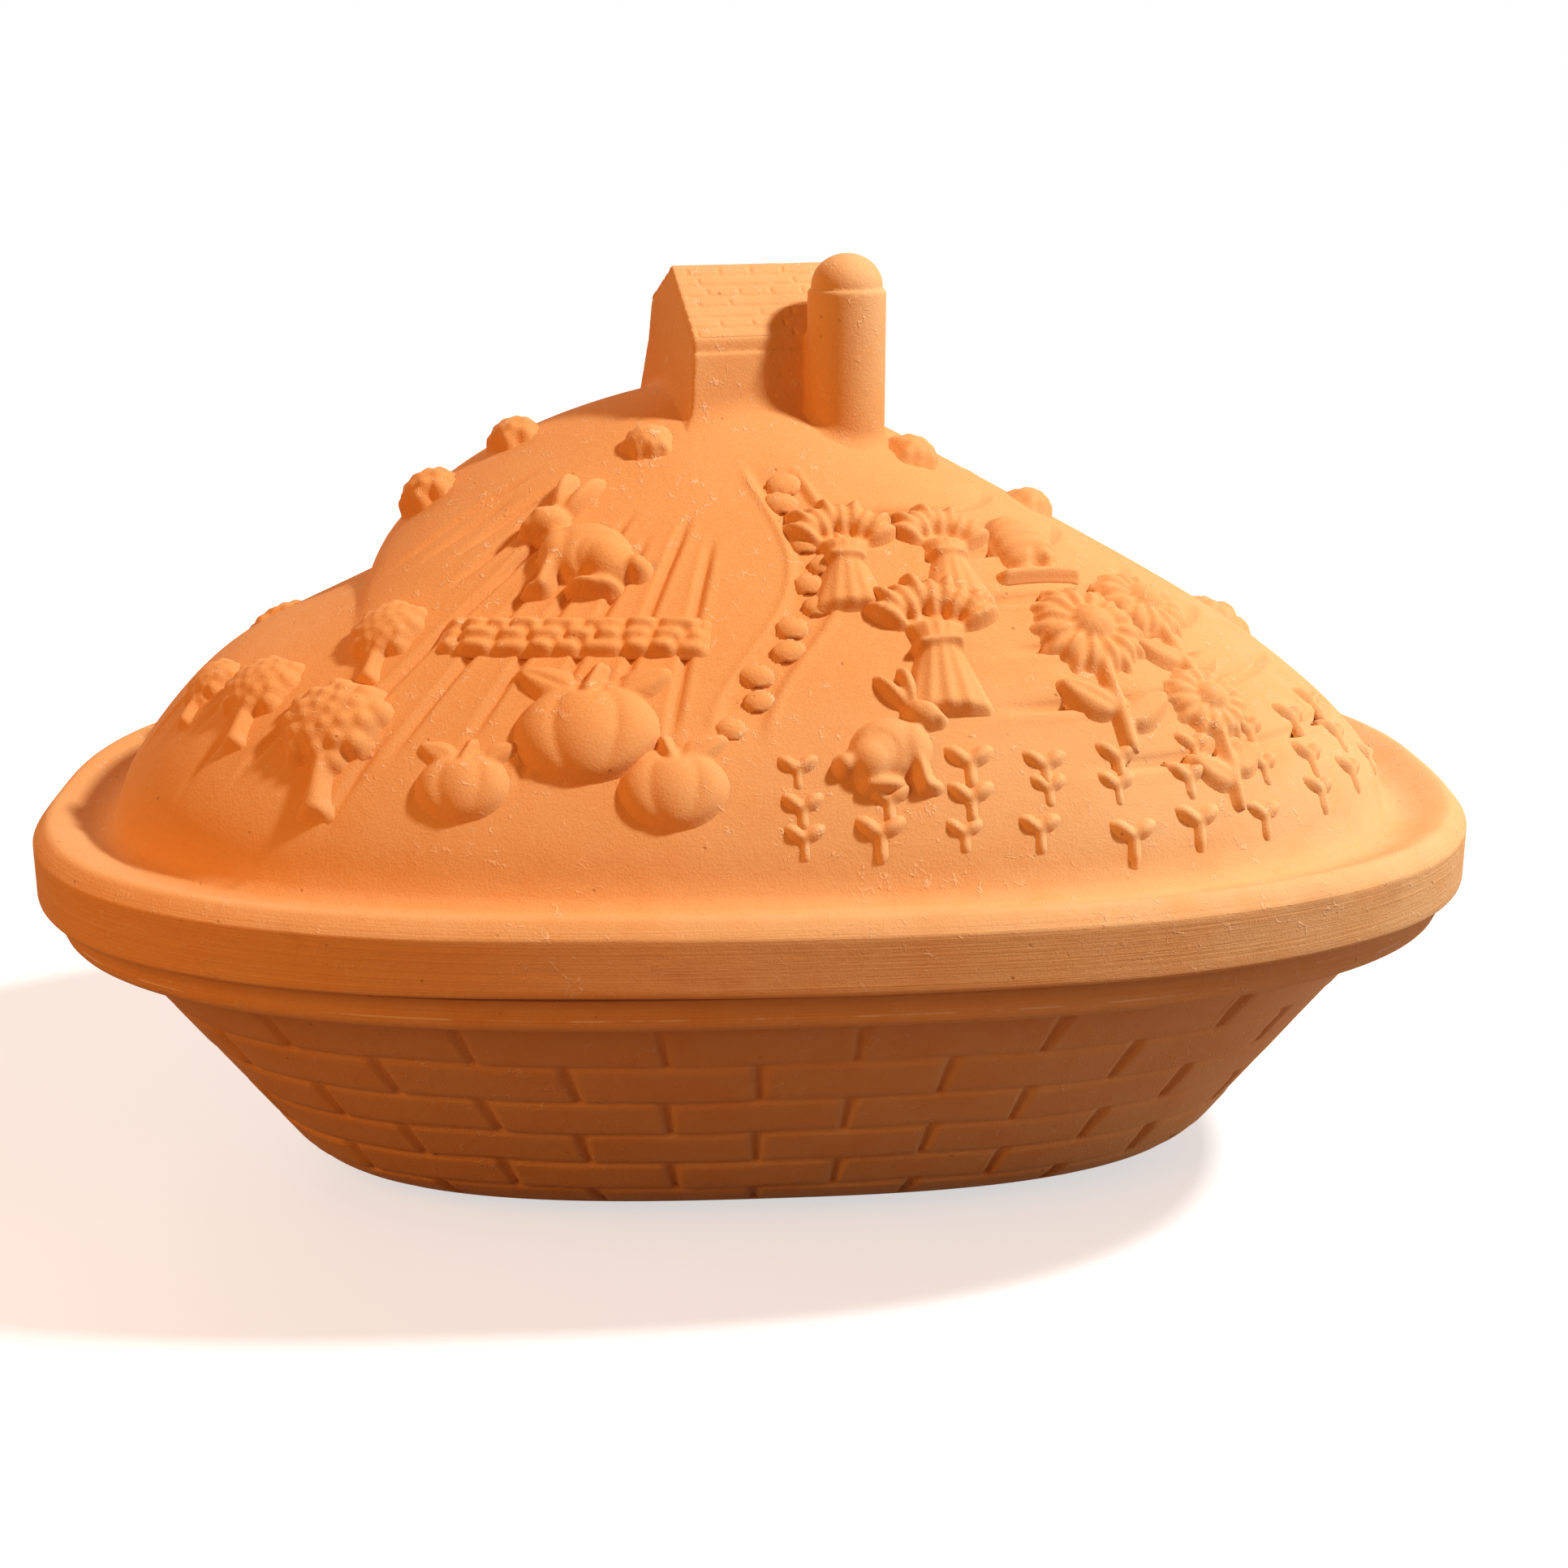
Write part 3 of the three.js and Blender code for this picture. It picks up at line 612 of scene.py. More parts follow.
handle = dict(
    cell=0.62,
    barn=dict(x=1.6, y=12, turn=16, length=46, halfWidth=18, wallHeight=15.5, flare=0.08, proud=0.9),
    roof=dict(
        fascia=3.5, reach=0.3, rise=16.7, kneeInset=1.1, kneeDrop=8.5, backLean=0.34,
        overlap=4,  # how far it goes down into the walls
        deckFade=(0.2, 1.6),
    ),
    shingles=dict(
        thickness=0.8,
        root=0.5,
        courses=7,
        length=8.5,
        stagger=(4.3, 2.6, 1.2),  # from course to course, the swing in it, and the lean of a nick
        groove=0.4,
        depth=0.5,
        nick=((0.05, 0.2), (0.5, 0.75)),  # where in a course a nick starts and ends
        border=(0.9, 1.1),  # how far in and how far down the border is rounded
        cell=0.4,
    ),
    silo=dict(x=23.4, y=-5, radius=9.9, height=37.3, capRadius=9, capRise=8, capNeck=0.8),
    wallRound=0.3,
    edgeRound=0.4,
    ledgeRound=0.35,
    capFillet=0.6,
    siloFillet=1.4,
    footFillet=3.4,
    skirt=7,
    sunk=0.3,  # how far under the hill the skirt runs out
    root=5,  # how deep it sits in the lid's wall
    low=(-42, -34, 176.0),  # corner of the space that is searched for its skin
    far=(22, 70, 2),  # and the other: past the silo, in depth, and over the lid's top
)


def barnFrame():
    # heights of the barn over the hill at its front corner, and the half widths of eave and knee
    barn, roof = handle["barn"], handle["roof"]
    turn = np.radians(barn["turn"])
    along = np.array([np.cos(turn), np.sin(turn)])
    across = np.array([-np.sin(turn), np.cos(turn)])
    corner = np.array([barn["x"], barn["y"]]) - along * barn["length"] / 2 - across * barn["halfWidth"]
    fasciaZ = hillHeight(*corner) + barn["wallHeight"]
    eaveZ = fasciaZ + roof["fascia"]
    ridgeZ = eaveZ + roof["rise"]
    eave = barn["halfWidth"] + roof["reach"]
    return dict(
        along=along, across=across, fasciaZ=fasciaZ, eaveZ=eaveZ, ridgeZ=ridgeZ,
        kneeZ=ridgeZ - roof["kneeDrop"], eave=eave, knee=eave - roof["kneeInset"],
    )


def softMax(fields, blend):
    # the largest of several distances, with the corners between them rounded off
    fields = np.stack(np.broadcast_arrays(*fields))
    top = fields.max(0)
    return top + blend * np.log(np.exp((fields - top) / blend).sum(0))


def softMin(first, second, blend):
    # the smaller of two distances, with a fillet of about that size where they are alike
    share = np.clip(0.5 + 0.5 * (second - first) / blend, 0, 1)
    return second + (first - second) * share - blend * share * (1 - share)


def handleField(x, y, z):
    # distance to the barn and silo: planes of the walls and roof slopes, a round tower with a domed cap, and
    # the hill that they grow out of with a fillet
    barn, roof, silo = handle["barn"], handle["roof"], handle["silo"]
    at = barnFrame()
    eave, knee, ridgeZ = at["eave"], at["knee"], at["ridgeZ"]
    dx, dy = x - barn["x"], y - barn["y"]
    along, across = [dx * at[way][0] + dy * at[way][1] for way in ("along", "across")]
    lean = barn["flare"] * np.maximum(at["fasciaZ"] - z, 0)
    end = np.abs(along) - barn["length"] / 2 - lean
    back = (across - knee - (at["kneeZ"] - z) * roof["backLean"]) / np.hypot(1, roof["backLean"])
    # each slope is a plane through the ridge and its lower line, set down by the shingles that lie on it
    frontSlope = ((z - ridgeZ) * eave - across * roof["rise"]) / np.hypot(roof["rise"], eave)
    backSlope = ((z - ridgeZ) * knee + across * roof["kneeDrop"]) / np.hypot(roof["kneeDrop"], knee)
    deck = handle["shingles"]["thickness"]
    frontDeck = deck * smoothStep(*roof["deckFade"], eave + across)
    front = -across - barn["halfWidth"] - barn["proud"] - lean
    walls = softMax([front, back, end, z - at["fasciaZ"]], handle["wallRound"])
    low = at["fasciaZ"] - roof["overlap"] - z
    cover = [-across - eave, frontSlope + frontDeck, backSlope + deck, back, end, low]
    house = np.minimum(walls, softMax(cover, handle["edgeRound"]))
    # silo
    ledgeZ = hillHeight(silo["x"], silo["y"] - silo["radius"]) + silo["height"]
    radius = np.hypot(x - silo["x"], y - silo["y"])
    tower = softMax([radius - silo["radius"], z - ledgeZ], handle["ledgeRound"])
    capUp = np.maximum(z - ledgeZ - silo["capNeck"], 0) / silo["capRise"]
    cap = (np.hypot(radius / silo["capRadius"], capUp) - 1) * silo["capRise"]
    both = softMin(house, softMin(tower, cap, handle["capFillet"]), handle["siloFillet"])
    ground = hillHeight(x, y)
    slope = hillNormal(x, y)[..., 2]
    grown = softMin(both, (z - ground + handle["sunk"]) * slope, handle["footFillet"])
    return np.maximum(np.maximum(grown, both - handle["skirt"]), (ground - handle["root"] - z) * slope)


def netSkin(field, low, step):
    # skin of a sampled distance field: one point in each cell that the skin crosses, at the mean of its
    # crossings, and one quad round each grid edge that it crosses
    cells = np.array(field.shape) - 1
    total = np.zeros((*cells, 3))
    count = np.zeros(cells)
    edges = []
    for axis in range(3):
        lower = np.moveaxis(field, axis, 0)[:-1]
        upper = np.moveaxis(field, axis, 0)[1:]
        crossed = (lower < 0) != (upper < 0)
        share = np.where(crossed, lower / np.where(crossed, lower - upper, 1), 0)
        others = [other for other in range(3) if other != axis]
        seen = np.moveaxis(count, axis, 0)
        sums = np.moveaxis(total, axis, 0)
        for p in (0, 1):
            for q in (0, 1):
                window = (slice(None), slice(p, cells[others[0]] + p), slice(q, cells[others[1]] + q))
                hit = crossed[window]
                seen += hit
                sums[..., axis] += share[window]
                sums[..., others[0]] += p * hit
                sums[..., others[1]] += q * hit
        edges.append((axis, crossed, lower < 0))
    active = count > 0
    index = np.full(cells, -1)
    index[active] = np.arange(active.sum())
    points = low + step * (np.argwhere(active) + total[active] / count[active][:, None])
    quads = []
    for axis, crossed, outward in edges:
        i, j, k = np.nonzero(crossed[:, 1:-1, 1:-1])
        table = np.moveaxis(index, axis, 0)
        quad = np.stack([table[i, j, k], table[i, j + 1, k], table[i, j + 1, k + 1], table[i, j, k + 1]], -1)
        flip = outward[:, 1:-1, 1:-1][i, j, k] == (axis == 1)
        quad[flip] = quad[flip][:, ::-1]
        quads.append(quad)
    return points, np.concatenate(quads)


def makeHandle():
    step = handle["cell"]
    silo = handle["silo"]
    low = np.array(handle["low"])
    high = np.array(handle["far"]) + [silo["x"] + silo["radius"], 0, lidHigh[2]]
    axes = [np.arange(low[i], high[i], step) for i in range(3)]
    x, y, z = np.meshgrid(*axes, indexing="ij", sparse=True)
    points, quads = netSkin(handleField(x, y, z), low, step)
    # slide the points onto the true surface along the field's slope
    nudge = 0.04
    for _ in range(3):
        here = handleField(*points.T)
        slope = np.stack([handleField(*(points + shift).T) - here for shift in np.eye(3) * nudge], -1) / nudge
        move = here[:, None] * slope / np.maximum((slope ** 2).sum(-1, keepdims=True), 0.2)
        points = points - np.clip(move, -0.3 * step, 0.3 * step)
    piece = addPiece("barnHandle", points, quads.tolist(), "lid", lidClay)
    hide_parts("lid")


makeHandle()


def makeShingles():
    # a sheet on each roof slope: share runs from its lower line to the ridge and a along it, with scribed
    # courses and staggered nicks between the shingles
    barn, shingles = handle["barn"], handle["shingles"]
    steady, swing, lean = shingles["stagger"]
    starts, stops = shingles["nick"]
    at = barnFrame()
    sheets = []
    for low, lowZ in ((-at["eave"], at["eaveZ"]), (at["knee"], at["kneeZ"])):
        reach = np.hypot(low, at["ridgeZ"] - lowZ)
        half = barn["length"] / 2
        a, share = np.meshgrid(
            np.linspace(-half, half, int(2 * half / shingles["cell"])),
            np.linspace(0, 1, int(reach / shingles["cell"])),
            indexing="ij",
        )
        rows = np.round(shingles["courses"] * reach / np.hypot(at["eave"], handle["roof"]["rise"]))
        height = share * rows
        course = np.floor(np.clip(height, 0, rows - 0.01))
        up = height - course
        bed = np.minimum(up, 1 - up) * reach / rows + 9 * (height < 0.5) + 9 * (height > rows - 0.5)
        along = a + steady * course + swing * np.sin(5 * course) + lean * (up - 0.5) * np.sin(3 * course)
        nick = np.abs(along % shingles["length"] - shingles["length"] / 2)
        kept = np.sin(7.3 * np.floor(along / shingles["length"]) + 3.1 * course) > -0.4
        short = kept * smoothStep(*starts, up) * (1 - smoothStep(*stops, up))
        wobble = 0.75 + 0.25 * np.sin(a * 0.9 + course * 2)
        lines = np.maximum(wobble * bell(bed, shingles["groove"]), short * bell(nick, shingles["groove"]))
        edge = np.minimum(half - np.abs(a), share * reach) / shingles["border"][0]
        border = shingles["border"][1] * (1 - arch(1 - np.clip(edge, 0, 1), 1))
        depth = shingles["depth"] * lines + border
        across = low * (1 - share)
        plan = a[..., None] * at["along"] + across[..., None] * at["across"] + [barn["x"], barn["y"]]
        points = np.concatenate([plan, (lowZ + share * (at["ridgeZ"] - lowZ))[..., None]], -1)
        outward = np.append(at["across"] * np.sign(low) * (at["ridgeZ"] - lowZ), abs(low)) / reach
        points = points - outward * depth[..., None]
        quads = gridQuads(a.shape)
        sheets.append((points.reshape(-1, 3), quads if low < 0 else quads[:, ::-1]))
    addRelief("shingles", sheets, shingles["thickness"] + shingles["root"])


def addRelief(name, sheets, thickness):
    # several sheets as one piece, closed by a wall that reaches into the lid
    starts = np.cumsum([0] + [len(points) for points, _ in sheets])
    faces = np.concatenate([quads + start for (_, quads), start in zip(sheets, starts)])
    points = np.concatenate([points for points, _ in sheets])
    piece = addPiece(name, points, faces.tolist(), "lid", lidClay)
    solid = piece.modifiers.new("wall", "SOLIDIFY")
    solid.thickness = thickness * mm
    solid.offset = -1
    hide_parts("lid")


makeShingles()


def dome(u, v, at, radii, rise, turn=0.0, power=0.5):
    # an oval cushion: rise * (1 - q)^power, where q is the squared distance from its middle in radii
    du = u - at[0]
    dv = v - at[1]
    q = ((np.cos(turn) * du + np.sin(turn) * dv) / radii[0]) ** 2
    q = q + ((np.cos(turn) * dv - np.sin(turn) * du) / radii[1]) ** 2
    return rise * np.maximum(0, 1 - q) ** power


def bar(u, v, start, end, radius, rise, taper=1.0):
    # a round bar from start to end, running to taper times its size
    du, dv = end[0] - start[0], end[1] - start[1]
    along = np.clip(((u - start[0]) * du + (v - start[1]) * dv) / (du * du + dv * dv), 0, 1)
    away = np.hypot(u - start[0] - along * du, v - start[1] - along * dv)
    size = 1 + (taper - 1) * along
    return rise * size * arch(away, radius * size)


def leaf(u, v, at, length, width, rise, turn):
    # a pointed oval with a groove along its rib
    du = np.cos(turn) * (u - at[0]) + np.sin(turn) * (v - at[1])
    dv = np.cos(turn) * (v - at[1]) - np.sin(turn) * (u - at[0])
    half = width * arch(du, length) * (1 - 0.35 * du / length) + 1e-6
    body = np.maximum(0, 1 - (dv / half) ** 2) ** 0.6 * (np.abs(du) < length)
    return rise * body * (1 - 0.35 * bell(dv, 0.45))


goldenAngle = 2.39996  # spreads tufts and seeds evenly


def foliage(u, v, at, radii, rise, tufts):
    # a leafy crown: a cushion under tufts that spiral out from its middle by the golden angle
    crown = dome(u, v, at, radii, rise)
    tuft = 1.45 * np.sqrt(radii[0] * radii[1] / tufts)
    for place in range(tufts):
        share = 0.93 * np.sqrt((place + 0.5) / tufts)
        angle = goldenAngle * place
        spot = (at[0] + radii[0] * share * np.cos(angle), at[1] + radii[1] * share * np.sin(angle))
        crown = np.maximum(crown, dome(u, v, spot, (tuft, tuft), 1.3 + 0.9 * rise * np.sqrt(1 - share ** 2)))
    return crown


def tree(u, v):
    # a trunk that spreads at its foot, under a leafy crown
    half = 2.5 + 2.6 * np.exp(-(v + 17) / 2.6)
    trunk = 3.8 * arch(u, half) * smoothStep(-17.4, -15.8, v) * (v < 2)
    return np.maximum(trunk, foliage(u, v, (0, 6), (12.5, 11.5), 6.2, 24))


def pumpkin(u, v):
    # body of ribs that run as meridians, a stalk, and a leaf on each side
    side = np.sqrt(np.clip(1 - (v / 11) ** 2, 1e-6, None))
    meridian = np.arcsin(np.clip(u / (15 * side), -1, 1))
    rib = np.abs(np.cos(3.5 * meridian)) ** 0.5
    body = dome(u, v, (0, 0), (15, 11), 6.2) * (0.78 + 0.22 * rib) - dome(u, v, (0.4, 9.2), (4, 2.4), 1.6)
    stalk = bar(u, v, (0.3, 8.4), (2.6, 15), 2.1, 4.6, 0.75)
    leaves = [leaf(u, v, (-9, 12.5), 6.5, 4.2, 2.6, 2.6), leaf(u, v, (12.4, 12), 5.6, 3.6, 2.4, 0.5)]
    vine = [bar(u, v, (2, 11), end, 0.9, 1.6) for end in ((-7, 11), (10, 10.6))]
    return np.maximum.reduce([body, stalk, *leaves, *vine])


def sheaf(u, v):
    # stalks tied at the waist, spreading both ways, with a fan of grain ears on top
    half = 4.3 + 0.36 * np.abs(v)
    ends = smoothStep(-16, -14.3, v) * (1 - smoothStep(5, 8, v))
    stalks = 4.4 * arch(u, half) * (1 - 0.2 * np.abs(np.sin(7 * u / half))) * ends
    parts = [stalks, bar(u, v, (-4.3, 0.4), (4.3, -0.2), 1.25, 5.5)]
    for place, angle in enumerate(np.linspace(-0.95, 0.95, 9)):
        reach = 12.6 + 1.8 * (place % 2)
        at = (reach * np.sin(angle), 1.5 + reach * np.cos(angle))
        ear = dome(u, v, at, (2.0, 5.3), 4.6 + 0.5 * (place % 2), -angle)
        up = (u - at[0]) * np.sin(angle) + (v - at[1]) * np.cos(angle)
        parts.append(ear * (1 - 0.14 * np.abs(np.sin(1.5 * up))))
    return np.maximum.reduce(parts)


def sunflower(u, v):
    # two rings of petals round a seeded disc, on a stem with two leaves
    parts = [
        bar(u, v, (0.8, -20), (0, 2), 1.8, 3.0),
        leaf(u, v, (-6, -9.5), 6.4, 3.6, 3.2, 2.5),
        leaf(u, v, (7, -12.5), 6.4, 3.6, 3.2, 0.55),
    ]
    for reach, rise, shift in ((8.8, 3.0, 0), (7.4, 4.2, np.pi / 12)):
        for angle in np.linspace(0, 2 * np.pi, 12, endpoint=False) + shift:
            at = (reach * np.cos(angle), 8 + reach * np.sin(angle))
            parts.append(dome(u, v, at, (4.6, 1.9), rise, angle, 0.6))
    disc = dome(u, v, (0, 8), (5.6, 5.6), 5.6)
    for seed in range(1, 34):
        angle = goldenAngle * seed
        reach = 0.86 * np.sqrt(seed)
        spot = (reach * np.cos(angle), 8 + reach * np.sin(angle))
        disc = disc + dome(u, v, spot, (0.66, 0.66), 0.55)
    return np.maximum.reduce(parts + [disc])


def rabbit(u, v):
    # a sitting rabbit seen from the side: oval body, haunch, chest, head with long ears, feet and tail
    parts = [
        dome(u, v, (1.5, -1), (9.8, 8.4), 5.4, -0.35),
        dome(u, v, (6, -4.2), (6.2, 6.2), 6.4),
        dome(u, v, (-4.8, -0.6), (4.6, 6.6), 5.2),
        dome(u, v, (-8.3, 8.4), (5.2, 4.3), 5.6, 0.25),
        dome(u, v, (-11.8, 7.1), (2.6, 2.3), 4.6),
        dome(u, v, (-5.2, 17.2), (2.2, 7.4), 4.6, -0.16),
        dome(u, v, (-0.9, 15.8), (2.2, 7.0), 4.0, -0.62),
        bar(u, v, (-5.8, -4), (-7.4, -10.6), 2.1, 4.8),
        dome(u, v, (-8.8, -11), (3.0, 1.7), 4.0),
        dome(u, v, (3.6, -10.6), (6.4, 2.0), 5.2),
        dome(u, v, (12.6, -5.2), (3.1, 3.1), 5.0),
    ]
    shape = np.maximum.reduce(parts)
    crease = np.abs(np.hypot((u - 6) / 6.2, (v + 4.2) / 6.2) - 1) * 6.2
    shape = shape - 0.6 * bell(crease, 0.6) * (u < 6) * (shape > 1)
    return shape + dome(u, v, (-9.4, 9.3), (0.9, 0.9), 0.9)


def shrub(u, v):
    # a round bush
    return foliage(u, v, (0, 0), (8, 7), 6.6, 15)


def hive(u, v):
    # a straw beehive on a board: a tall cushion with coils round it and a small door
    body = dome(u, v, (0, -1), (10.5, 14), 7.2) * (v > -12.5)
    body = body * (0.74 + 0.26 * np.abs(np.cos(np.pi * (v + 0.012 * u ** 2) / 4.2)) ** 0.8)
    door = dome(u, v, (0, -10.5), (3, 3.8), 3.8)
    return np.maximum(body - door, bar(u, v, (-12, -13.2), (12, -13.2), 1.9, 4.4))


def sprout(u, v):
    # two round leaves on a short stem
    return np.maximum.reduce([
        dome(u, v, (-2.1, 1.7), (2.8, 1.5), 1.9, -0.7),
        dome(u, v, (2.1, 1.7), (2.8, 1.5), 1.9, 0.7),
        bar(u, v, (0, -3.4), (0, 0.4), 0.85, 1.3),
    ])


def cobble(u, v):
    # a flat stone with a round edge
    return dome(u, v, (0, 0), (4.6, 3.4), 1.5, 0.2, 0.4)


# sheets of relief: cell size, rounds of softening, how far a sheet sinks into the hill and how thick it is
largeRelief = dict(cell=0.55, soften=2, sink=0.3, thickness=1.6)
smallRelief = dict(soften=1, sink=0.2, thickness=1.0)
leastHeight = 0.06  # what is lower is left out
borderDepth = 1.2  # how far the border goes under the hill


def layOnHill(x, y, motif, size, flip):
    # a fine sheet on the hill round (x, y), u along the slope and v up it: each point goes out along the
    # normal by shape(u, v), the border goes under the hill and cells without height are left out
    spans = []
    for extent in motif["extent"]:
        count = int(2 * extent * size / motif["cell"]) + 1
        spans.append(np.linspace(-extent, extent, count))
    u, v = np.meshgrid(*spans, indexing="ij")
    height = size * motif["shape"](-u if flip else u, v)
    for _ in range(motif["soften"]):
        for axis in (0, 1):
            height = (np.roll(height, 1, axis) + 2 * height + np.roll(height, -1, axis)) / 4
    # up is halfway between straight up the slope and upright as seen from the front or back
    normal = hillNormal(np.array(x), np.array(y))
    upSlope = np.array([0, 0, 1]) - normal[2] * normal
    upright = np.array([0, -np.sign(normal[1]) * normal[2], abs(normal[1])])
    up = unit(unit(upSlope) + unit(upright))
    right = np.cross(up, normal)
    px = x + size * (u * right[0] + v * up[0])
    py = y + size * (u * right[1] + v * up[1])
    points = offHill(px, py, np.where(height > leastHeight, height - motif["sink"], -borderDepth))
    quads = gridQuads(height.shape)
    quads = quads[(height.reshape(-1)[quads] > leastHeight).any(1)]
    used, quads = np.unique(quads, return_inverse=True)
    return points.reshape(-1, 3)[used], quads.reshape(-1, 4)


# each motif: turn round the lid in degrees, level on the hill, size, and 1 to face the other way
motifs = dict(
    orchard=dict(
        shape=tree, extent=(15.5, 20),
        places=[(201, 0.86, 0.64, 0), (213, 0.83, 0.8, 1), (228, 0.86, 1.0, 0), (222, 0.69, 0.72, 1),
                (150, 0.86, 0.8, 0), (136, 0.84, 0.95, 1), (47, 0.85, 0.95, 0), (34, 0.84, 0.75, 1)],
    ),
    pumpkins=dict(
        shape=pumpkin, extent=(19, 17),
        places=[(252, 0.82, 1.1, 0), (261, 0.905, 0.82, 1), (243, 0.905, 0.72, 0),
                (108, 0.8, 1.0, 1), (97, 0.88, 0.75, 0)],
    ),
    sheaves=dict(
        shape=sheaf, extent=(16, 20),
        places=[(284, 0.48, 0.95, 0), (302, 0.48, 0.9, 0), (290, 0.68, 1.12, 1),
                (79, 0.6, 1.0, 0), (72, 0.8, 0.95, 1)],
    ),
    sunflowers=dict(
        shape=sunflower, extent=(14.5, 21.5),
        places=[(308, 0.72, 1.15, 0), (314, 0.86, 0.9, 1), (323, 0.68, 1.0, 0),
                (20, 0.84, 0.8, 0), (124, 0.7, 1.0, 1)],
    ),
    rabbits=dict(
        shape=rabbit, extent=(16.5, 25),
        places=[(238, 0.47, 1.1, 0), (281, 0.85, 0.9, 1), (90, 0.62, 1.0, 1)],
    ),
    shrubs=dict(
        shape=shrub, extent=(10, 9),
        places=[(172, 0.51, 1.0, 0), (164, 0.38, 0.85, 0), (8, 0.45, 0.75, 0), (343, 0.25, 0.8, 0),
                (226, 0.22, 0.7, 1), (52, 0.42, 0.9, 0), (118, 0.44, 0.8, 1)],
    ),
    hives=dict(
        shape=hive, extent=(14.5, 16),
        places=[(320, 0.47, 0.85, 0), (62, 0.62, 0.95, 1), (49, 0.62, 0.8, 0)],
    ),
)
for name, motif in motifs.items():
    motif.update(largeRelief)
    sheets = []
    for degrees, level, size, flip in motif["places"]:
        sheets.append(layOnHill(*hillSpot(degrees, level), motif, size, flip))
    addRelief(name, sheets, motif["thickness"])

sprouts = dict(
    shape=sprout,
    extent=(5.2, 5),
    cell=0.6,
    rows=(0.885, 0.93, 0.972),  # levels
    fields=[(266, 340), (40, 92)],  # first and last turn
    spacing=19,
    size=1.1,
    seed=5,
    **smallRelief,
)


def makeSprouts():
    # rows along the foot of the hill, each sprout a little off its place
    chance = np.random.default_rng(sprouts["seed"])
    fine = np.linspace(0, 360, 3601)
    sheets = []
    for row, level in enumerate(sprouts["rows"]):
        run = runAlong(np.stack(hillSpot(fine, level), -1))
        count = int(run[-1] / sprouts["spacing"])
        for degrees in np.interp((np.arange(count) + 0.5 * (row % 2)) / count * run[-1], run, fine):
            degrees = degrees + chance.uniform(-0.8, 0.8)
            if any(first < degrees < last for first, last in sprouts["fields"]):
                spot = hillSpot(degrees, level + chance.uniform(-0.008, 0.008))
                size = sprouts["size"] * chance.uniform(0.85, 1.15)
                sheets.append(layOnHill(*spot, sprouts, size, 0))
    addRelief("sprouts", sheets, sprouts["thickness"])


makeSprouts()

cobbles = dict(
    shape=cobble,
    extent=(5.2, 4.2),
    cell=0.7,
    levels=np.arange(0.29, 0.82, 0.048),
    apart=1.9,  # each side of the lane's middle
    size=(0.65, 0.85),
    seed=8,
    **smallRelief,
)


def makeCobbles():
    # stones laid two abreast down the lane
    chance = np.random.default_rng(cobbles["seed"])
    sheets = []
    for place, level in enumerate(cobbles["levels"]):
        x, y = hillSpot(laneTurn(level), level)
        x = x + cobbles["apart"] * (-1) ** place + chance.uniform(-0.5, 0.5)
        sheets.append(layOnHill(x, y, cobbles, chance.uniform(*cobbles["size"]), place % 2))
    addRelief("cobbles", sheets, cobbles["thickness"])


makeCobbles()

stoneWall = dict(
    path=[(229, 0.66), (237, 0.655), (246, 0.65), (255, 0.645), (263, 0.65)],
    courses=3,
    courseHeight=3.4,
    margin=1,  # above and below the courses
    stones=60,  # more than a course needs
    stone=(5.5, 10.5),
    firstCut=6,
    rise=3.4,
    proud=(0.75, 1.1),
    cushion=3.5,
    fade=4,
    seed=11,
)


